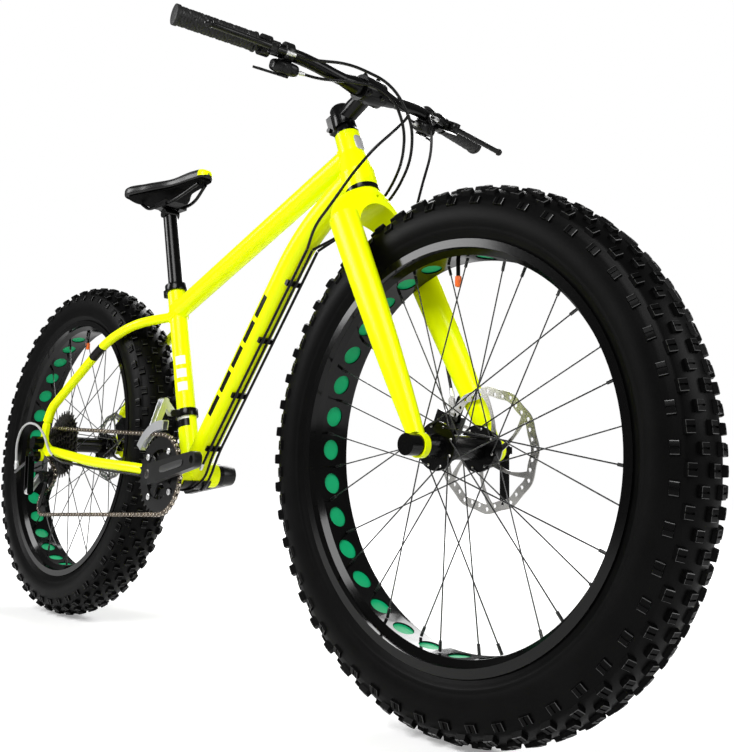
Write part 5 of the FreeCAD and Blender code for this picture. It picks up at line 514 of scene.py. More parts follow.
for subpart in frame["record"]["subparts"]:
    solid, slot = nodes[subpart["node"]], subpart["material_slot"]
    solid.data.materials.clear()
    solid.data.materials.append(FINISH_OF_NODE.get(subpart["node"], FINISH_OF_SLOT[slot]))

# %% [markdown]
# ## Softened edges
# A forged or moulded part never has a knife edge: its corners catch a thin line of light. The
# solids come as loose triangles, so a Weld modifier first joins their corners and a Bevel then
# rounds every edge that turns more than 35 degrees.

# %% Edges that catch the light
WELD_REACH = 0.00002
BEVEL_LIMIT = math.radians(35)
NODES_OF_EDGE_WIDTH = {
    0.0014: ("crank_arm_right", "crank_arm_left"),
    0.0008: ("stem", "brake_lever_right", "brake_lever_left", "front_caliper", "rear_caliper",
             "saddle_clamp"),
    0.0006: ("stem_faceplate", "brake_lever_mounts", "shift_lever_right", "shift_lever_left",
             "front_derailleur_clamp", "rear_derailleur_bracket", "rear_derailleur_linkage",
             "rear_derailleur_knuckle", "seat_clamp", "front_skewer_lever", "rear_skewer_lever")}
for width, names in NODES_OF_EDGE_WIDTH.items():
    for name in names:
        weld = nodes[name].modifiers.new("merged corners", "WELD")
        weld.merge_threshold = WELD_REACH
        bevel = nodes[name].modifiers.new("soft edges", "BEVEL")
        bevel.width = width
        bevel.segments = 2
        bevel.limit_method = "ANGLE"
        bevel.angle_limit = BEVEL_LIMIT
    print("edges of", round(width * 1000, 1), "mm on", len(names), "solids")

# %% [markdown]
# ## Tires
# The tires are what makes this bike: bulged black casings nearly 100 mm wide, with square knobs in
# rows. The casing is a profile of arcs turned about the axle, so its surface is a grid of angle
# and place along the profile. The knobs are one small block with a cut across its top, copied
# round the crown in rows that are staggered by half a step, each one standing square on the
# casing. The thin faces round a knob's top get a paler rubber, partly for the scuffing that starts
# there and partly as a painted highlight where those edges catch the light.

# %% Tire casing
CROWN_RADIUS = 0.366
SHOULDER = (0.041, 0.351)
WIDEST = (0.048, 0.322)
BEAD = (0.0373, 0.2886)
CASING_FOOT = (0.0373, 0.2802)
CROWN_DROP = CROWN_RADIUS - SHOULDER[1]
CROWN_BOW = (SHOULDER[0] ** 2 + CROWN_DROP ** 2) / (2 * CROWN_DROP)
WALL_RIDGES = ((0.0011, 0.299, 0.0022), (0.0006, 0.3405, 0.0012))
CASING_MIDDLE, CASING_WALL, CASING_STEPS = 0.318, 0.003, 240


def arc_through(start, middle, end, count):
    """Points on the circle through three places in a plane, from start to end by way of middle."""
    (ax, ay), (bx, by), (cx, cy) = start, middle, end
    d = 2 * (ax * (by - cy) + bx * (cy - ay) + cx * (ay - by))
    a2, b2, c2 = ax * ax + ay * ay, bx * bx + by * by, cx * cx + cy * cy
    centre = np.array([a2 * (by - cy) + b2 * (cy - ay) + c2 * (ay - by),
                       a2 * (cx - bx) + b2 * (ax - cx) + c2 * (bx - ax)]) / d
    sweep = np.unwrap([math.atan2(y - centre[1], x - centre[0]) for x, y in (start, middle, end)])
    turn = np.linspace(sweep[0], sweep[2], count)
    radius = math.hypot(ax - centre[0], ay - centre[1])
    return centre + radius * np.stack([np.cos(turn), np.sin(turn)], 1)


def casing_profile():
    """Closed profile of (out, radius): wall, crown and wall, then the same line 3 mm inside. Each
    ridge on the wall adds lift * exp(-((radius - its radius) / spread) ^ 2)."""
    wall = arc_through(BEAD, WIDEST, SHOULDER, 26)
    for lift, radius, spread in WALL_RIDGES:
        wall[:, 0] += lift * np.exp(-((wall[:, 1] - radius) / spread) ** 2)
    crown = arc_through(SHOULDER, (0.0, CROWN_RADIUS), (-SHOULDER[0], SHOULDER[1]), 31)[1:-1]
    left = np.vstack([[CASING_FOOT], wall])
    outer = np.vstack([left, crown, left[::-1] * [-1, 1]])
    inward = unit(np.stack([-outer[:, 0], CASING_MIDDLE - outer[:, 1]], 1))
    return np.vstack([outer, (outer + CASING_WALL * inward)[::-1]])


profile = casing_profile()
print("casing", len(profile), "points, half width", round(profile[:, 0].max(), 4))


# %% Tread knobs
KNOB_COUNT = 50
KNOB_ROWS = ((0.0085, 0.0, (0.0160, 0.0120, 0.0056)), (0.0240, 0.5, (0.0138, 0.0108, 0.0060)),
             (0.0378, 0.0, (0.0152, 0.0115, 0.0066)), (0.0445, 0.5, (0.0160, 0.0110, 0.0034)))
SIDE_KNOB, SIDE_LEAN = (0.0452, 0.3405), math.radians(68)
KNOB_FACES = 18
# Faces round a knob's top that take the paler rubber, scuff plus painted highlight.
SCUFF_AND_HIGHLIGHT_FACES = (2, 6, 11, 12, 15, 16)


def knob_shape(length, width, height):
    """Block with a cut across its top: a side outline at both ends of a width that tapers up."""
    along = length * np.array([-0.06, -0.08, -0.42, -0.47, -0.53, 0.53, 0.47, 0.42, 0.08, 0.06])
    up = height * np.array([0.66, 1.0, 0.97, 0.86, -0.5, -0.5, 0.86, 0.97, 1.0, 0.66])
    reach = width * (0.52 - 0.07 * up / height)
    return lofted(np.stack([np.stack([along, side * reach, up], -1) for side in (-1, 1)]))


def row_stand(out):
    """Place out, radius and lean of a row: square on the crown's circle, or on the wall past it."""
    if abs(out) > SHOULDER[0]:
        return math.copysign(SIDE_KNOB[0], out), SIDE_KNOB[1], math.copysign(SIDE_LEAN, out)
    lean = math.asin(out / CROWN_BOW)
    return out, CROWN_RADIUS - CROWN_BOW + CROWN_BOW * math.cos(lean), lean


def tread(axle):
    """Rows of knobs on the left and, half a step on, mirrored on the right: each knob stands at
    axle + radial * radius + left * out, along the casing's normal."""
    shapes = []
    for row_out, phase, size in KNOB_ROWS:
        for side, start in ((1, phase), (-1, 0.5 - phase)):
            out, radius, lean = row_stand(side * row_out)
            radial = wheel_way((np.arange(KNOB_COUNT) + start) * 2 * np.pi / KNOB_COUNT)
            along = np.cross(radial, LEFT)
            normal = radial * math.cos(lean) + LEFT * math.sin(lean)
            place = axle + radial * radius + LEFT * out
            shapes.append(many(knob_shape(*size),
                               frames(place, along, np.cross(normal, along), normal)))
    return shapes


print("knobs on a tire", 2 * len(KNOB_ROWS) * KNOB_COUNT)


# %% Both tires
for end, axle in AXLES.items():
    casing = hoop(turned(profile[:, 0], profile[:, 1], axle, LEFT, CASING_STEPS))
    rubber = dressed(end + "_tire_tread", joined(casing, *tread(axle)), end + "_wheel",
                     "tire_rubber", tire_black, end + "_tire")
    knob_face = np.arange(len(rubber.data.polygons)) - len(casing[1])
    # The knob edges get the paler rubber, scuff plus painted highlight.
    second_finish(rubber, scuff_and_highlight_rubber,
                  (knob_face >= 0) & np.isin(knob_face % KNOB_FACES, SCUFF_AND_HIGHLIGHT_FACES))

# %% [markdown]
# ## Saddle
# A slim sporting saddle is a hard base with thin foam under a tight moulded cover, so it has no
# loose cloth to drape. It is lofted here: half width and crown height are smooth lines along the
# length, every section is a squarish oval that tucks in towards its foot, and both ends round off.
# A groove with a row of stitches runs where the top panel meets the sides, and the nose has a
# bright tip.

# %% Saddle lines
SADDLE_TAIL, SADDLE_NOSE, SADDLE_TILT = -0.110, 0.148, math.radians(2.0)
STATIONS = np.array([0.0, 0.10, 0.34, 0.58, 0.82, 1.0])
HALF_WIDTHS = 0.070 * np.array([0.66, 1.0, 0.84, 0.45, 0.32, 0.24])
TOP_LINE = 0.046 + 0.026 * np.array([0.94, 1.02, 0.93, 0.90, 0.98, 0.84])
FOOT_LINE = 0.046 + 0.026 * np.array([-0.10, -0.22, -0.16, -0.02, 0.0, 0.02])
SHELL_MIDDLE, SHELL_HALF, SHELL_TOP = 0.0447, 0.0016, 0.0464
SADDLE_ROWS, SADDLE_COLUMNS = 110, 120
SEAM_TURN, TIP_START, STITCH_COUNT = 0.45, 0.940, 52
share = (1 - np.cos(np.pi * np.linspace(0.012, 0.988, SADDLE_ROWS))) / 2
turn = full_turn(SADDLE_COLUMNS)
across, rising = np.cos(turn)[None], np.sin(turn)[None]


def eased(at, values):
    """Smooth line through the stations: cubic pieces whose slopes match at every station."""
    slope = np.gradient(values, STATIONS)
    k = np.clip(np.searchsorted(STATIONS, at, side="right") - 1, 0, len(STATIONS) - 2)
    span = STATIONS[k + 1] - STATIONS[k]
    t = (at - STATIONS[k]) / span
    return ((1 + 2 * t) * (1 - t) ** 2 * values[k] + t * (1 - t) ** 2 * span * slope[k]
            + t * t * (3 - 2 * t) * values[k + 1] + t * t * (t - 1) * span * slope[k + 1])


def saddle_points(at, out, up):
    """Points at shares of the length, turned nose up about the clamp: (x c - z s, y, x s + z c)."""
    x = SADDLE_TAIL + (SADDLE_NOSE - SADDLE_TAIL) * at[:, None] + 0 * across
    c, s = math.cos(SADDLE_TILT), math.sin(SADDLE_TILT)
    return SADDLE_CLAMP + np.stack([x * c - up * s, out, x * s + up * c], -1)


def rounded_ends(at):
    """Width share that closes like a quarter circle, over the last tenth at the tail and less at
    the nose."""
    ends = np.minimum(at / 0.10, (1 - at) / 0.07)
    return np.sqrt(1 - (1 - np.clip(ends, 0, 1)) ** 2)


print("saddle half widths", eased(np.linspace(0, 1, 5), HALF_WIDTHS).round(3).tolist())


# %% Saddle surfaces
def shell_rings():
    """Thin moulded shell inside the skirt: a flat oval section, 0.86 of the cover's width."""
    at = share * 0.94 + 0.03
    out = 0.86 * (eased(at, HALF_WIDTHS) * rounded_ends(at))[:, None] * power(across, 0.4)
    return saddle_points(at, out, SHELL_MIDDLE + SHELL_HALF * power(rising, 0.4) + 0 * out)


def saddle_rings():
    """Sections over (share, turn): out is width * |cos|^0.6 and up height * |sin|^0.75 above a
    middle line, squarer below it, both shrunk by a quarter circle at the ends and by a narrow dip
    along the seam. Inside the skirt the foot rises to the shell in a smooth step."""
    close = rounded_ends(share)[:, None]
    low, top = eased(share, FOOT_LINE)[:, None], eased(share, TOP_LINE)[:, None]
    middle = low + 0.42 * (top - low)
    above, wide, high = rising > 0, np.abs(across), np.abs(rising)
    seam = 1 - 0.03 * np.exp(-((wide - math.cos(SEAM_TURN)) / 0.02) ** 2) * above
    half = eased(share, HALF_WIDTHS)[:, None] * close
    out = half * power(across, np.where(above, 0.6, 0.34))
    inside = np.clip((0.95 - wide ** 0.34) / 0.07, 0, 1)
    hollow = np.maximum(SHELL_TOP - low, 0) * inside ** 2 * (3 - 2 * inside)
    rise = np.where(above, (top - middle) * high ** 0.75, -(middle - low) * high ** 0.5 + hollow)
    return saddle_points(share, out * seam, middle + rise * seam * close ** 0.6)


# %% Saddle cover and shell
rings = saddle_rings()
cover = dressed("saddle_skin", lofted(rings), "saddle", "saddle_leather", saddle_black,
                "saddle_cover")
quads = np.arange(len(cover.data.polygons))
row, column = quads // SADDLE_COLUMNS, quads % SADDLE_COLUMNS
at_nose = share[np.minimum(row, SADDLE_ROWS - 1)] > TIP_START
second_finish(cover, neon, (row < SADDLE_ROWS - 1) & at_nose & (np.sin(turn)[column] > -0.15))
dressed("saddle_shell", lofted(shell_rings()), "saddle", "black_plastic", base_black, "saddle_base")


# %% Saddle stitches
def distances(path):
    """Distance along a line of points from its first to each."""
    return np.r_[0, np.cumsum(np.linalg.norm(np.diff(path, axis=0), axis=1))]


def along_path(at, path, values):
    """Rows of values read off at distances along a line of points."""
    return np.stack([np.interp(at, distances(path), column) for column in values.T], 1)


def even_steps(path, count):
    """Places at equal distances along a line of points, with the unit direction at each."""
    at = (np.arange(count) + 0.5) * distances(path)[-1] / count
    return along_path(at, path, path), unit(along_path(at, path, np.gradient(path, axis=0)))


stitch = lofted(turned([-0.0021, -0.0016, 0.0016, 0.0021], [0.0002, 0.00045, 0.00045, 0.0002],
                       np.zeros(3), AHEAD, 6))
stitches = []
for seam_turn in (SEAM_TURN, np.pi - SEAM_TURN):
    seam_line = rings[8:-8, int(round(seam_turn / (2 * np.pi) * SADDLE_COLUMNS))]
    place, way = even_steps(seam_line, STITCH_COUNT)
    side = unit(np.cross(way, UP))
    stitches.append(many(stitch, frames(place, way, side, np.cross(way, side))))
thread = finish_of("saddle thread", 0.03, 0.02, (0.5, 0.6), 3000.0, 0.2, shine=0.3)
dressed("saddle_stitches", joined(*stitches), "saddle", "saddle_leather", thread)

# %% [markdown]
# ## Chain
# A chain is pairs of waisted plates, an outer pair over every second gap and an inner pair
# between, pinned through rollers half an inch apart. Its line leaves each wheel where a straight
# run touches it, so the path is four arcs joined by common tangents. Rollers are set along it at
# equal steps, and each plate stands on the straight line between its two rollers.

# %% Chain line
PITCH = 0.0127
CHAIN_OUT = -0.070
CHAIN_LINKS = 118
CHAIN_CIRCLES = (
    (REAR_AXLE, 17, -1), (BRACKET, 36, -1),
    (np.array([-0.596, 0.0, 0.2367]), 11, -1), (np.array([-0.5715, 0.0, 0.298]), 11, 1))


def chain_line():
    """Closed line over the wheels: a straight run leaves a circle at its angle plus
    asin((turn1 r1 - turn2 r2) / span), and an arc joins where one run lands to where the next
    leaves."""
    centres, teeth, way = (np.array(values) for values in zip(*CHAIN_CIRCLES))
    middle = centres[:, [0, 2]]
    radius = PITCH / (2 * np.sin(np.pi / teeth))
    span = np.roll(middle, -1, 0) - middle
    bend = way * radius - np.roll(way * radius, -1)
    angle = np.arctan2(span[:, 1], span[:, 0]) + np.arcsin(bend / np.linalg.norm(span, axis=1))
    normal = np.stack([-np.sin(angle), np.cos(angle)], 1)
    leave = -normal * way[:, None]
    land = np.roll(-normal, 1, 0) * way[:, None]
    first = np.arctan2(land[:, 1], land[:, 0])
    last = np.arctan2(leave[:, 1], leave[:, 0])
    sweep = way * np.mod(way * (last - first), 2 * np.pi)
    at = first[:, None] + sweep[:, None] * np.linspace(0, 1, 60)
    arcs = middle[:, None] + radius[:, None, None] * np.stack([np.cos(at), np.sin(at)], -1)
    flat = np.vstack([arcs.reshape(-1, 2), arcs[0, :1]])
    return np.insert(flat, 1, CHAIN_OUT, axis=1)


line = chain_line()
chain_length = distances(line)[-1]
print("chain line", round(chain_length / PITCH, 2), "pitches")

# %% Chain plates and rollers
pins = along_path(np.arange(CHAIN_LINKS) * chain_length / CHAIN_LINKS, line, line)
next_pins = np.roll(pins, -1, 0)
link_way = unit(next_pins - pins)
link_place = frames((pins + next_pins) / 2, link_way, np.tile(LEFT, (CHAIN_LINKS, 1)),
                    np.cross(link_way, LEFT))


def plate_pair(inside, outside, lobe, waist):
    """Two waisted plates, left and right of the line: the half height over x is the lobe circle's
    or the waist, whichever is more."""
    x = (PITCH / 2 + lobe) * np.cos(np.linspace(0.12, np.pi - 0.12, 10))
    beyond = np.abs(x) - PITCH / 2
    half = np.sqrt(np.maximum(lobe ** 2 - beyond ** 2, 0))
    half = np.where(np.abs(x) < PITCH / 2, np.maximum(half, waist), half)
    outline = np.stack([np.r_[x, x[::-1]], np.r_[half, -half[::-1]]], 1)
    return joined(*[lofted(np.stack([np.insert(outline, 1, out, axis=1) for out in ends]))
                    for ends in ((inside, outside), (-outside, -inside))])


pin_place = [-PITCH / 2, 0.0, 0.0]
roller = lofted(turned([-0.0015, 0.0015], [0.0038, 0.0038], pin_place, LEFT, 12))
pin = lofted(turned([-0.0034, -0.0031, 0.0031, 0.0034], [0.0013, 0.0018, 0.0018, 0.0013],
                    pin_place, LEFT, 8))
outer_pair = plate_pair(0.0023, 0.0031, 0.0040, 0.0027)
inner_pair = plate_pair(0.0015, 0.0022, 0.0042, 0.0031)
links = joined(many(outer_pair, link_place[::2]), many(inner_pair, link_place[1::2]),
               many(roller, link_place), many(pin, link_place))
chain = dressed("chain_links", links, "frame", "chain_steel", chain_steel, "chain")
second_finish(chain, roller_steel,
              np.arange(len(links[1])) >= CHAIN_LINKS // 2 * len(outer_pair[1]))

# %% [markdown]
# ## Cables at the bars
# Four housings leave the levers and shifters. Three of them loop round the head tube to the frame,
# so they have to bend when the bars turn, and the fourth runs down the fork to the front brake.
# Each is a tube carried along straight runs that are joined by arcs.

# %% Cable routes
CABLE_RADIUS = 0.0025
ARC_REACH = 0.45
LOOP_ROUTES = (
    ((942, -178.5, 976.4), (952, -134, 976), (990, -88, 975), (1024, -22, 952), (1029, 22, 897),
     (1010, 41, 842), (967, 50, 796), (912, 47, 758), (856, 34, 740), (813.7, 12, 711.1)),
    ((924.3, -142.7, 961.3), (934, -104, 960), (966, -70, 958), (998, -36, 952), (1015, -6, 930),
     (1016, 18, 886), (1000, 30, 838), (960, 43, 802), (908, 44, 764), (852, 22, 732),
     (813.7, 0, 711.1)),
    ((924.3, 142.7, 961.3), (934, 104, 960), (968, 72, 950), (1000, 40, 920), (1006, 4, 884),
     (994, -30, 846), (962, -46, 806), (914, -46, 766), (858, -34, 740), (813.7, -12, 711.1)))
FRONT_BRAKE_ROUTE = (
    (942, 178.5, 976.4), (954, 140, 972), (984, 116, 938), (990, 112, 880), (974, 106, 822),
    (960, 102, 762), (974, 101.5, 700), (1001, 99, 632), (1030, 96, 562), (1050, 92, 502),
    (1068, 86, 452))
print("points on the loops", [len(route) for route in LOOP_ROUTES])


# %% Cable tubes
def from_rear(ahead, out, up):
    """Place given in millimetres ahead of the rear axle, to the left and above the ground."""
    return np.array([ahead - HALF_WHEELBASE_MM, out, up]) / 1000


def rounded_run(route):
    """Line along a route whose corners are arcs that start and end at 0.45 of the shorter run. An
    arc's point is centre + (sin((1 - t) * sweep) * first + sin(t * sweep) * last) / sin(sweep)."""
    points = from_rear(*np.transpose(route)).T
    corner = points[1:-1]
    back, forth = points[:-2] - corner, points[2:] - corner
    shorter = np.minimum(np.linalg.norm(back, axis=1), np.linalg.norm(forth, axis=1))
    reach = ARC_REACH * shorter[:, None]
    back, forth = unit(back), unit(forth)
    half = np.arccos(np.sum(back * forth, 1))[:, None] / 2
    centre = corner + unit(back + forth) * reach / np.cos(half)
    first, last = (corner + way * reach - centre for way in (back, forth))
    sweep = (np.pi - 2 * half)[:, None]
    t = np.linspace(0, 1, 8)[None, :, None]
    bow = np.sin((1 - t) * sweep) * first[:, None] + np.sin(t * sweep) * last[:, None]
    arcs = centre[:, None] + bow / np.sin(sweep)
    return np.vstack([points[:1], arcs.reshape(-1, 3), points[-1:]])


def housing(route):
    """Tube of rings across a rounded run, turned from the steady way that the run follows least."""
    line = rounded_run(route)
    way = unit(np.gradient(line, axis=0))
    ways = unit(np.stack(np.meshgrid([-1, 0, 1], [-1, 0, 1], [0.3, 1.0]), -1).reshape(-1, 3))
    steady = ways[np.argmin(np.abs(way @ ways.T).max(0))]
    side = unit(np.cross(way, steady))
    return lofted(line[:, None] + CABLE_RADIUS * ring_ways(way, side, 10))


# %% Cables on the bike
loops = mesh_piece("bar_cable_loops", joined(*[housing(route) for route in LOOP_ROUTES]))
loops.data.materials.append(housing_black)
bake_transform(loops)
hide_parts("steering_cables")
print("bar_cable_loops", len(loops.data.polygons), "faces between frame and steering")
dressed("front_brake_cable", housing(FRONT_BRAKE_ROUTE), "steering", "housing_plastic",
        housing_black, "steering_cables")

# %% [markdown]
# ## Grips
# The rubber grips have slanted grooves that cross into long diamonds between two plain collars,
# with fine ribs on top. Each is a turned tube whose radius also depends on the angle, so neither
# the grooves nor the ribs need a separate shape.

# %% Grips
GRIP_RADIUS, GROOVE_DEPTH, RIB_HEIGHT = 0.0151, 0.0013, 0.0002
GROOVE_PITCH, GROOVE_STARTS, RIB_PITCH = 0.024, 3, 0.005
GRIP_COLUMNS = 64


def bar_end(side):
    """Places on the bar's middle line at its end and at the bend inside the grip."""
    return (BAR_MIDDLE + np.array([-0.054, side * 0.348, 0.019]),
            BAR_MIDDLE + np.array([-0.012, side * 0.132, 0.014]))


def grip_rings(side):
    """Rings along the bar's end between collars: radius less a bell-shaped groove where either of
    the slanted waves |sin(pi * (place / pitch + or - starts * angle / 2 pi))| nears zero, plus ribs
    along place."""
    end, bend = bar_end(side)
    place = np.linspace(-0.1258, -0.0042, 220)[:, None]
    slant = GROOVE_STARTS * full_turn(GRIP_COLUMNS)[None] / (2 * np.pi)
    near = np.minimum(*[np.abs(np.sin(np.pi * (place / GROOVE_PITCH + way * slant)))
                        for way in (-1, 1)])
    ribs = RIB_HEIGHT * np.tanh(2 * np.sin(2 * np.pi * place / RIB_PITCH))
    sleeve = GRIP_RADIUS - GROOVE_DEPTH * np.exp(-(near / 0.22) ** 2) + ribs
    collar = np.array([[0.0150, 0.0161, 0.0164, 0.0164, 0.0161, 0.0152]]).T
    collar = collar * np.ones((1, GRIP_COLUMNS))
    along = np.r_[-0.1300, -0.1298, -0.1292, -0.1268, -0.1262, -0.1260, place[:, 0],
                  -0.0040, -0.0038, -0.0032, 0.0020, 0.0028, 0.0030]
    return turned(along, np.vstack([collar, sleeve, collar[::-1]]), end, end - bend, GRIP_COLUMNS)


dressed("grip_sleeves", joined(lofted(grip_rings(-1)), lofted(grip_rings(1))), "steering",
        "grip_rubber", grip_black, "grips")

# %% [markdown]
# ## Shifter shells
# Each shifter is a smooth moulded shell that hangs under the bar from a narrow clamp band. The
# shell is a rounded box: along the bar its sections swell and close as a superellipse, and each
# section is a superellipse too. The band is a small profile turned about the bar.

# %% Shifter shells
SHIFTER_INWARD = 0.186
LEVER_DROOP = math.radians(27.0)
SHELL_DROP = 0.0235


def shifter_frame(side):
    """Place on the bar, the way out along it, the way the levers reach, and the way down."""
    end, bend = bar_end(side)
    out = unit(end - bend)
    reach = np.array([math.cos(LEVER_DROOP), 0.0, -math.sin(LEVER_DROOP)])
    reach = unit(reach - out * (reach @ out))
    return end - out * SHIFTER_INWARD, out, reach, np.cross(out, reach) * side


def shifter_shell(origin, out, reach, down):
    """Rounded box over (a, b): x = 23 cos a, and y, z = sin a times a squared-off circle of 16 by
    11 mm."""
    a, b = np.linspace(0.04, np.pi - 0.04, 25)[:, None], full_turn(36)[None]
    swell = np.sin(a) ** 0.35
    x = 0.023 * power(np.cos(a), 0.8) + 0 * b
    y = 0.006 + 0.0160 * swell * power(np.cos(b), 0.7)
    z = SHELL_DROP + 0.0112 * swell * power(np.sin(b), 0.7)
    return lofted(origin + x[..., None] * out + y[..., None] * reach + z[..., None] * down)


def clamp_band(origin, out):
    """Profile of a band with rounded edges, from the bar out to 17 mm, turned about the bar."""
    along = np.array([-0.008, -0.008, -0.007, 0.007, 0.008, 0.008])
    radius = np.array([0.0112, 0.0162, 0.0170, 0.0170, 0.0162, 0.0112])
    return hoop(turned(along, radius, origin, out, 40))


def shell_cap(origin, reach, down):
    """Shallow turned cap with a stepped rim on the shell's front, and a screw head sunk in it."""
    along = np.array([-0.002, 0.0006, 0.0012, 0.0012, 0.0006, 0.0006, 0.0010, 0.0010])
    radius = np.array([0.0080, 0.0080, 0.0074, 0.0062, 0.0058, 0.0030, 0.0026, 0.0006])
    return lofted(turned(along, radius, origin + down * SHELL_DROP + reach * 0.0216, reach, 28))


shells = []
for side in (-1, 1):
    origin, out, reach, down = shifter_frame(side)
    shells += [shifter_shell(origin, out, reach, down), clamp_band(origin, out),
               shell_cap(origin, reach, down)]
dressed("shifter_shells", joined(*shells), "steering", "black_plastic", black_plastic,
        "shifter_housings")

# %% [markdown]
# ## Weld beads
# The frame's tubes are welded, and a low rippled bead under the paint runs round every joint. The
# bead's line is where one tube's surface meets the other: every straight line along the first tube
# is followed until it reaches the second one, and a thin tube of rippling radius runs along that.

# %% Weld lines
def weld_line(start, target, radius, post, post_way, post_radius):
    """Where lines along a tube first reach a post: the nearer root of |p + t w| = post radius, with
    p and w taken across the post."""
    way, post_way = unit(target - start), unit(post_way)
    side = unit(np.cross(way, post_way))
    foot = start + radius * ring_ways(way[None], side[None], 180)[0]
    p = foot - post
    p = p - (p @ post_way)[:, None] * post_way
    w = way - (way @ post_way) * post_way
    half = p @ w
    root = np.maximum(half ** 2 - (w @ w) * (np.sum(p * p, 1) - post_radius ** 2), 0)
    return foot + ((-half - np.sqrt(root)) / (w @ w))[:, None] * way


def bead(line, thickness):
    """Tube along a closed line of radius thickness * (1 + 0.2 cos), a ripple every four points."""
    way = unit(np.roll(line, -1, 0) - np.roll(line, 1, 0))
    side = unit(np.cross(way, line - line.mean(0)))
    radius = thickness * (1 + 0.2 * np.cos(np.arange(len(line)) * np.pi / 2))[:, None, None]
    return hoop(line[:, None] + radius * ring_ways(way, side, 8))


# %% Weld beads on the frame
BEAD_RADIUS = 0.0020
TOP_TUBE_RADIUS, DOWN_TUBE_RADIUS, STAY_RADIUS = 0.0200, 0.0245, 0.010
SEAT_TUBE_RADIUS, SHELL_RADIUS = 0.0186, 0.0235
HEAD_TUBE_RADIUS, HEAD_TUBE_FOOT = 0.0232, 0.0290
SEAT_JOINT = BRACKET + SEAT_AXIS * 0.347
HEAD_JOINT = CROWN + STEER_AXIS * 0.0865
SEAT_TUBE = (BRACKET, SEAT_AXIS, SEAT_TUBE_RADIUS)
BRACKET_SHELL = (BRACKET, LEFT, SHELL_RADIUS)
seams = [
    weld_line(SEAT_JOINT, HEAD_JOINT, TOP_TUBE_RADIUS, CROWN, STEER_AXIS, HEAD_TUBE_RADIUS),
    weld_line(HEAD_JOINT, SEAT_JOINT, TOP_TUBE_RADIUS, *SEAT_TUBE),
    weld_line(DOWN_TUBE_BEND, CROWN + STEER_AXIS * 0.043, DOWN_TUBE_RADIUS,
              CROWN, STEER_AXIS, HEAD_TUBE_FOOT),
    weld_line(DOWN_TUBE_BEND, BRACKET, DOWN_TUBE_RADIUS, *BRACKET_SHELL),
    weld_line(SEAT_JOINT, BRACKET, SEAT_TUBE_RADIUS, *BRACKET_SHELL)]
for side in (-1, 1):
    seams += [
        weld_line(np.array([-0.2775, side * 0.0515, 0.624]),
                  BRACKET + SEAT_AXIS * 0.334 + LEFT * side * 0.010, STAY_RADIUS, *SEAT_TUBE),
        weld_line(np.array([-0.2325, side * 0.065, 0.328]),
                  BRACKET + LEFT * side * 0.033, STAY_RADIUS, *BRACKET_SHELL)]
dressed("weld_beads", joined(*[bead(seam, BEAD_RADIUS) for seam in seams]), "frame", "neon_paint",
        neon)

# %% [markdown]
# ## Brake rotors
# A rotor's band runs in and out in twelve waves, which wipe the pads clean, and a hole in each of
# 36 cells sheds heat and weight. A cell is a patch between its four edges and the hole's circle,
# made once for the front face and once for the back. Curved arms carry the band on the centre
# ring.

# %% Rotor band
ROTOR_WAVES = 12
ROTOR_CELLS = 36
WAVE_DEPTH = 0.0013
HALF_THICK = 0.0009
print(ROTOR_CELLS, "cells in", ROTOR_WAVES, "waves")


def wavy_band(reach, width, hole):
    """Drilled band: at angle t its edges are at reach and reach - width, less
    depth * (1 - cos(waves * t))."""
    steps, zeros, ones = np.arange(4) / 4, np.zeros(4), np.ones(4)
    u = np.concatenate([steps, ones, 1 - steps, zeros]) - 0.5
    v = np.concatenate([zeros, steps, ones, 1 - steps]) - 0.5
    middle = np.arange(ROTOR_CELLS)[:, None] * 2 * np.pi / ROTOR_CELLS
    turn = middle + u * 2 * np.pi / ROTOR_CELLS
    dip = WAVE_DEPTH * (1 - np.cos(ROTOR_WAVES * turn))
    radius = reach - width / 2 + v * width - dip
    edge = np.stack([np.cos(turn), np.sin(turn)], -1) * radius[..., None]
    out = np.concatenate([np.cos(middle), np.sin(middle)], 1)
    along = np.concatenate([-np.sin(middle), np.cos(middle)], 1)
    lane = reach - width / 2 - WAVE_DEPTH * (1 - np.cos(ROTOR_WAVES * middle)) * 2
    around = np.arctan2(v, u)[None, :, None]
    spin = np.cos(around) * along[:, None] + np.sin(around) * out[:, None]
    flat = np.stack([edge, (lane * out)[:, None] + hole * spin], 1)
    points = np.stack([np.insert(flat, 1, y, axis=-1) for y in (HALF_THICK, -HALF_THICK)], 1)
    index = np.arange(points[..., 0].size).reshape(points.shape[:-1])
    after = np.roll(index, -1, -1)
    front, back = (np.stack([index[:, k, 0], after[:, k, 0], after[:, k, 1], index[:, k, 1]], -1)
                   for k in (0, 1))
    wall = np.stack([index[:, 0, 1], after[:, 0, 1], after[:, 1, 1], index[:, 1, 1]], -1)
    rims = np.stack([index[:, 0, 0], index[:, 1, 0], after[:, 1, 0], after[:, 0, 0]], -1)
    rims = np.concatenate([rims[:, 0:4], rims[:, 8:12]], 1)
    faces = np.concatenate([quads.reshape(-1, 4) for quads in (front, back[..., ::-1], wall, rims)])
    points, merged_index = np.unique(points.reshape(-1, 3).round(7), axis=0, return_inverse=True)
    return outward(points, merged_index.reshape(-1)[faces])


# %% Rotor arms and ring
def swept_arm(start, end, first, lean):
    """Flat arm: radius runs from start to end while the angle runs from first to first + lean, as
    lean * t ** 0.7."""
    t = np.linspace(0, 1, 10)
    line = wheel_way(first + lean * t ** 0.7) * (start + (end - start) * t)[:, None]
    ahead = unit(np.gradient(line, axis=0))
    side = np.cross(ahead, LEFT) * (0.0046 - 0.0022 * np.sin(np.pi * t))[:, None]
    thick = LEFT * HALF_THICK * 0.85
    return lofted(np.stack([line + side + thick, line - side + thick, line - side - thick,
                            line + side - thick], 1))


def centre_ring(inner, outer):
    """Flat ring that the bolts hold to the hub."""
    out = wheel_way(full_turn(48))
    return hoop(np.stack([out * radius + LEFT * side * HALF_THICK for radius, side in
                          ((outer, 1), (inner, 1), (inner, -1), (outer, -1))], 1))


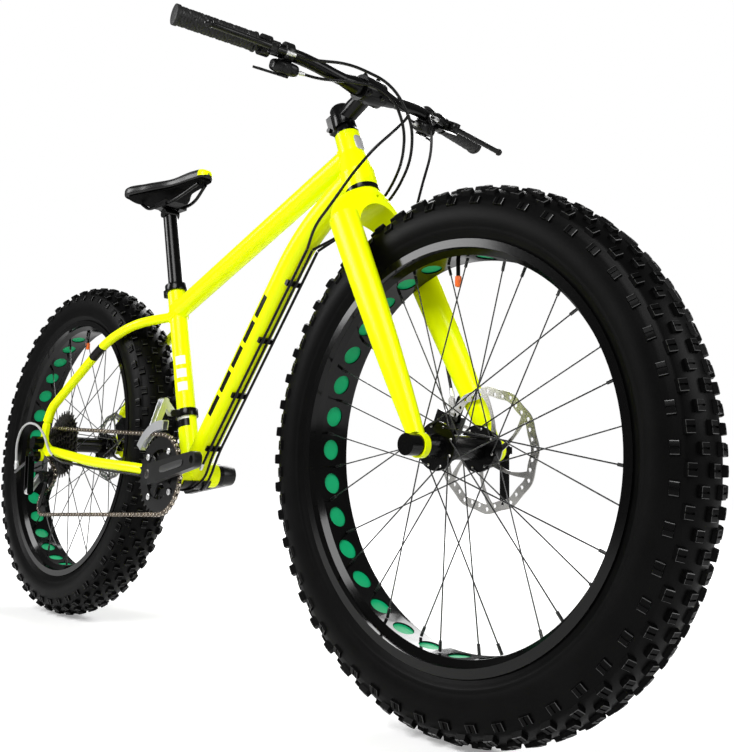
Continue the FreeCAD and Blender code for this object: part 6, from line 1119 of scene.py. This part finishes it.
# %% Rotors on the hubs
BAND_WIDTH, BAND_HOLE = 0.0135, 0.0027
RING_INNER, RING_OUTER = 0.0191, 0.027
ARM_START, ARM_INSET, ARM_LEAN = 0.023, 0.0125, math.radians(34)
for end, out, reach in (("front", 0.063, 0.090), ("rear", 0.074, 0.080)):
    arms = [swept_arm(ARM_START, reach - ARM_INSET, math.radians(60 * k), ARM_LEAN)
            for k in range(6)]
    points, faces = joined(wavy_band(reach, BAND_WIDTH, BAND_HOLE),
                           centre_ring(RING_INNER, RING_OUTER), *arms)
    dressed(end + "_wavy_rotor", (points + AXLES[end] + LEFT * out, faces), end + "_wheel",
            "stainless", stainless, end + "_rotor")

# %% [markdown]
# ## Bolts, caps and ferrules
# Small turned parts finish the bike: socket bolts in the chainring and on the rotors, a plug in
# the crank, bright valve caps, and a ferrule where each cable housing ends. A bolt is a few rings,
# and its hexagon socket is a ring whose radius follows a hexagon, 1 / cos of the angle to a flat's
# middle.

# %% Bolt shapes
def socket_bolt(radius, height):
    """Button head that stands along Z, with a hexagon socket sunk in its top."""
    angle = full_turn(12)
    hexagon = math.cos(math.pi / 6) / np.cos(np.mod(angle, np.pi / 3) - np.pi / 6)
    rims = ((1.0, -0.4, 1.0), (1.0, 0.5, 1.0), (0.82, 1.0, 1.0), (0.56, 1.0, hexagon),
            (0.52, 0.35, hexagon))
    return lofted(np.stack([
        np.stack([radius * size * shape * np.cos(angle), radius * size * shape * np.sin(angle),
                  np.full(12, height * up)], 1) for size, up, shape in rims]))


def bolt_circle(centre, facing, ring, first, count):
    """Placements round a circle about the axle line, each facing left (1) or right (-1)."""
    out = wheel_way(math.radians(first) + np.arange(count) * 2 * np.pi / count)
    normal = np.tile(LEFT * facing, (count, 1))
    return frames(centre + ring * out, out, np.cross(normal, out), normal)


# %% Bolts on the bike
ring_bolts = many(socket_bolt(0.0062, 0.0018),
                  bolt_circle(BRACKET - LEFT * 0.0725, -1, 0.052, 54.4, 4))
dressed("chainring_bolts", ring_bolts, "crank", "silver_alloy", silver_alloy)
for end, out in (("front", 0.0639), ("rear", 0.0749)):
    heads = many(socket_bolt(0.0034, 0.0022),
                 bolt_circle(AXLES[end] + LEFT * out, 1, 0.022, 30.0, 6))
    dressed(end + "_rotor_bolts", heads, end + "_wheel", "dark_steel", dark_steel)

# %% Crank plugs
PLUG_ALONG = [-0.001, 0.0006, 0.0012, 0.0012, 0.0004]
PLUG_RADIUS = [0.0088, 0.0088, 0.0080, 0.0042, 0.0038]
plugs = [lofted(turned(PLUG_ALONG, PLUG_RADIUS, BRACKET + LEFT * out,
                       LEFT * math.copysign(1, out), 24)) for out in (-0.0960, 0.0900)]
dressed("crank_plugs", joined(*plugs), "crank", "dark_steel", dark_steel)


# %% Spoke heads
def spoke_heads(axle, valve_degrees, right_flange, left_flange):
    """Small domes where the spokes hook into the hub: 32 round both flanges, on one face or the
    other."""
    index = np.arange(32)
    side = np.where(index % 2, -1, 1)
    trailing = np.where((index // 2) % 2, 1, -1)
    radial = wheel_way(np.radians(valve_degrees + (index + 0.5) * 11.25 + trailing * 67.5))
    flange = np.where(side < 0, right_flange, left_flange) / 1000
    facing = (side * trailing)[:, None] * LEFT
    place = axle + radial * 0.028 + (side * (flange + trailing * 0.0018))[:, None] * LEFT
    dome = lofted(turned([-0.0005, 0.0006, 0.0012, 0.0015], [0.0020, 0.0020, 0.0014, 0.0005],
                         np.zeros(3), UP, 8))
    return many(dome, frames(place, radial, np.cross(facing, radial), facing))


for end, right_flange, left_flange in (("front", 46, 41), ("rear", 37, 50)):
    heads = spoke_heads(AXLES[end], VALVE_DEGREES[end], right_flange, left_flange)
    dressed(end + "_spoke_heads", heads, end + "_wheel", "stainless", stainless)

# %% Valve caps
CAP_ALONG = [0.2284, 0.2292, 0.2310, 0.2430, 0.2442]
cap_ridges = 1 + 0.05 * np.cos(np.arange(24) * np.pi)[None]
cap_radius = np.array([[0.0024], [0.0040], [0.0047], [0.0047], [0.0044]]) * cap_ridges
for end, axle in AXLES.items():
    way = wheel_way(math.radians(VALVE_DEGREES[end]))
    cap = lofted(turned(CAP_ALONG, cap_radius, axle, way, 24))
    dressed(end + "_valve_cap", cap, end + "_wheel", "black_plastic", orange)


# %% Ferrules
def ferrule(tip, inward, length, radius):
    """Turned sleeve over the end of a cable housing: a rounded mouth, a plain barrel and a stepped
    neck. Its tip and a place further in are given from the rear axle."""
    along = length * np.array([-0.08, 0.0, 0.08, 0.62, 0.66, 0.96, 1.0])
    size = radius * np.array([0.80, 0.98, 1.0, 1.0, 0.84, 0.84, 0.78])
    tip, inward = from_rear(*tip), from_rear(*inward)
    return lofted(turned(along, size, tip, inward - tip, 20))


lever_ends = [ferrule((942, side * 178.5, 976.4), (953, side * 137, 974), 0.016, 0.0042)
              for side in (-1, 1)]
shifter_ends = [ferrule((924.3, side * 142.7, 961.3), (934, side * 104, 960), 0.014, 0.0038)
                for side in (-1, 1)]
front_end = ferrule((1068, 86, 452), (1050, 92, 502), 0.014, 0.0036)
dressed("steering_ferrules", joined(*lever_ends, *shifter_ends, front_end), "steering",
        "silver_alloy", silver_alloy)
rear_ends = [ferrule((67, 97, 440), (78, 104, 404), 0.014, 0.0036),
             ferrule((531, -13, 328), (548, -12, 356), 0.012, 0.0034),
             ferrule((-98.5, -108, 312.5), (-110, -110, 366), 0.018, 0.0044)]
dressed("frame_ferrules", joined(*rear_ends), "frame", "silver_alloy", silver_alloy)

# %% Crank inlay
CRANK_LENGTH, CRANK_SPLAY, INLAY_MIDDLE = 0.175, 0.018, 0.098


def rounded_plate(length, width, thickness):
    """Long plate along Z: squared-off ovals that grow to the rim and then drop below it."""
    angle = full_turn(40)
    size = np.array([0.04, 0.90, 1.0, 1.0])[:, None]
    inset = (1 - size) * width / 2
    x = (length / 2 - inset) * power(np.cos(angle), 0.35)[None]
    y = (width / 2 - inset) * power(np.sin(angle), 0.55)[None]
    z = thickness * np.array([1.0, 1.0, 0.6, -1.0])[:, None] + 0 * x
    return lofted(np.stack([np.where(size < 0.1, x * 0.5, x), y, z], -1))


arm_way = wheel_way(math.radians(9.4))
arm_slope = unit(arm_way * CRANK_LENGTH - LEFT * CRANK_SPLAY)
arm_face = unit(np.cross(arm_slope, np.cross(arm_slope, LEFT)))
inlay_out = 0.096 + CRANK_SPLAY * INLAY_MIDDLE / CRANK_LENGTH
inlay_place = BRACKET + arm_way * INLAY_MIDDLE - LEFT * inlay_out
inlay = many(rounded_plate(0.092, 0.0125, 0.0005), frames(
    [inlay_place], [arm_slope], [np.cross(arm_face, arm_slope)], [arm_face]))
inlay_grey = finish_of("crank inlay", 0.075, 0.055, (0.3, 0.4), 1100.0, 0.06, 0.5, shine=0.3)
dressed("crank_inlay", inlay, "crank", "black_metal", inlay_grey)


# %% Cable guide
def guide_rings():
    """Sections along the bracket: a thin arc of the shell's circle under it, 24 to 27 mm from its
    middle."""
    arc = np.radians(np.linspace(205, 335, 24))
    ring = np.concatenate([0.0270 * wheel_way(arc), 0.0236 * wheel_way(arc[::-1])])
    return BRACKET + ring[None] + np.linspace(-0.030, 0.030, 7)[:, None, None] * LEFT


dressed("cable_guide", lofted(guide_rings()), "frame", "black_plastic", black_plastic)

# %% [markdown]
# ## Head badge
# A plain rounded plate is fixed to the front of the head tube. It is a rounded square in angle and
# height, bent onto the tube by turning the angle into a place on its circle.

# %% Head badge
BADGE_HALF_ANGLE, BADGE_HALF_HEIGHT, BADGE_MIDDLE = 0.44, 0.015, 0.098


def badge_rings():
    """Rounded squares of growing size, bent to the tube's circle, then the rim dropped into it."""
    angle = full_turn(32)
    size = np.array([0.03, 0.35, 0.70, 0.94, 1.0, 1.0])[:, None]
    radius = np.array([0.0242, 0.0242, 0.0242, 0.0241, 0.0237, 0.0215])[:, None]
    round_tube = BADGE_HALF_ANGLE * size * power(np.cos(angle), 0.5)
    height = BADGE_MIDDLE + BADGE_HALF_HEIGHT * size * power(np.sin(angle), 0.5)
    return (CROWN + (radius * np.cos(round_tube))[..., None] * STEER_AHEAD
            + (radius * np.sin(round_tube))[..., None] * LEFT + height[..., None] * STEER_AXIS)


dressed("head_badge", lofted(badge_rings()), "frame", "silver_alloy", badge_grey)

# %% [markdown]
# ## Floor and light
# The floor is a plain pale sheet with a painted glow that only the camera sees, weak near the bike
# and stronger far from it, so it fades into the white room with only a soft shadow under the
# tires. The room itself is white to the eye and dimmer to the surfaces, which keeps the black parts
# black, and four large soft lamps shape the rest.

# %% Floor
FLOOR_HALF, FLOOR_STEPS, FLOOR_HEIGHT = 9.0, 40, -0.0004
floor_line = np.linspace(-FLOOR_HALF, FLOOR_HALF, FLOOR_STEPS)
sheet = np.stack(np.meshgrid(floor_line, floor_line, [FLOOR_HEIGHT], indexing="ij"), -1)[:, :, 0]
floor = mesh_piece("floor", (sheet.reshape(-1, 3), grid_faces(*sheet.shape[:2])[:, ::-1]))
pale = finish_of("pale floor", 0.92, 0.90, (0.5, 0.6), 60.0, 0.0)
painted_glow_tree = pale.node_tree
spot = add_node(painted_glow_tree, "ShaderNodeTexCoord")
far = add_node(painted_glow_tree, "ShaderNodeVectorMath", [(spot.outputs["Object"], 0)], operation="LENGTH")
fade = add_node(painted_glow_tree, "ShaderNodeMapRange", [(far.outputs["Value"], "Value")],
                From_Min=1.0, From_Max=4.0, To_Min=0.30, To_Max=1.0)
# Painted glow: only camera rays see the floor's emission, so it lights nothing on the bike.
eye = add_node(painted_glow_tree, "ShaderNodeLightPath")
shown = add_node(painted_glow_tree, "ShaderNodeMath", [
    (fade.outputs["Result"], 0), (eye.outputs["Is Camera Ray"], 1)], operation="MULTIPLY")
painted_glow_tree.links.new(shown.outputs[0], painted_glow_tree.nodes["Principled BSDF"].inputs["Emission Color"])
painted_glow_tree.nodes["Principled BSDF"].inputs["Emission Strength"].default_value = 1.0
floor.data.materials.append(pale)
print("floor", len(floor.data.polygons), "faces")

# %% White room
ROOM_WHITE, ROOM_LIGHT = (1.0, 1.0, 1.0, 1.0), 0.13
world = bpy.data.worlds.new("studio")
world.use_nodes = True
room = world.node_tree
seen = room.nodes["Background"]
seen.inputs["Color"].default_value = ROOM_WHITE
seen.inputs["Strength"].default_value = 1.0
lit = add_node(room, "ShaderNodeBackground", Color=ROOM_WHITE, Strength=ROOM_LIGHT)
ray = add_node(room, "ShaderNodeLightPath")
blend = add_node(room, "ShaderNodeMixShader", [
    (ray.outputs["Is Camera Ray"], 0), (lit.outputs[0], 1), (seen.outputs[0], 2)])
room.links.new(blend.outputs[0], room.nodes["World Output"].inputs["Surface"])
bpy.context.scene.world = world
print("white room, light on the bike", ROOM_LIGHT)


# %% Soft lamps
def soft_light(name, place, target, size, watts):
    """Square lamp at place that faces target."""
    lamp = bpy.data.lights.new(name, "AREA")
    lamp.energy = watts
    lamp.size = size
    holder = bpy.data.objects.new(name, lamp)
    bpy.context.collection.objects.link(holder)
    holder.location = place
    holder.rotation_mode = "QUATERNION"
    holder.rotation_quaternion = (Vector(target) - Vector(place)).to_track_quat("-Z", "Y")


soft_light("key", (1.6, -2.4, 2.6), (0.1, 0.0, 0.5), 1.8, 112.0)
soft_light("rim", (-1.6, 2.4, 2.2), (0.0, 0.0, 0.5), 2.0, 90.0)
soft_light("front", (3.0, 1.0, 1.6), (0.3, 0.0, 0.4), 1.6, 38.0)
soft_light("rear side", (-1.9, -2.3, 1.7), (-0.4, 0.0, 0.5), 1.2, 55.0)
bpy.context.scene.view_settings.view_transform = "Standard"
print("four lamps over a pale floor")
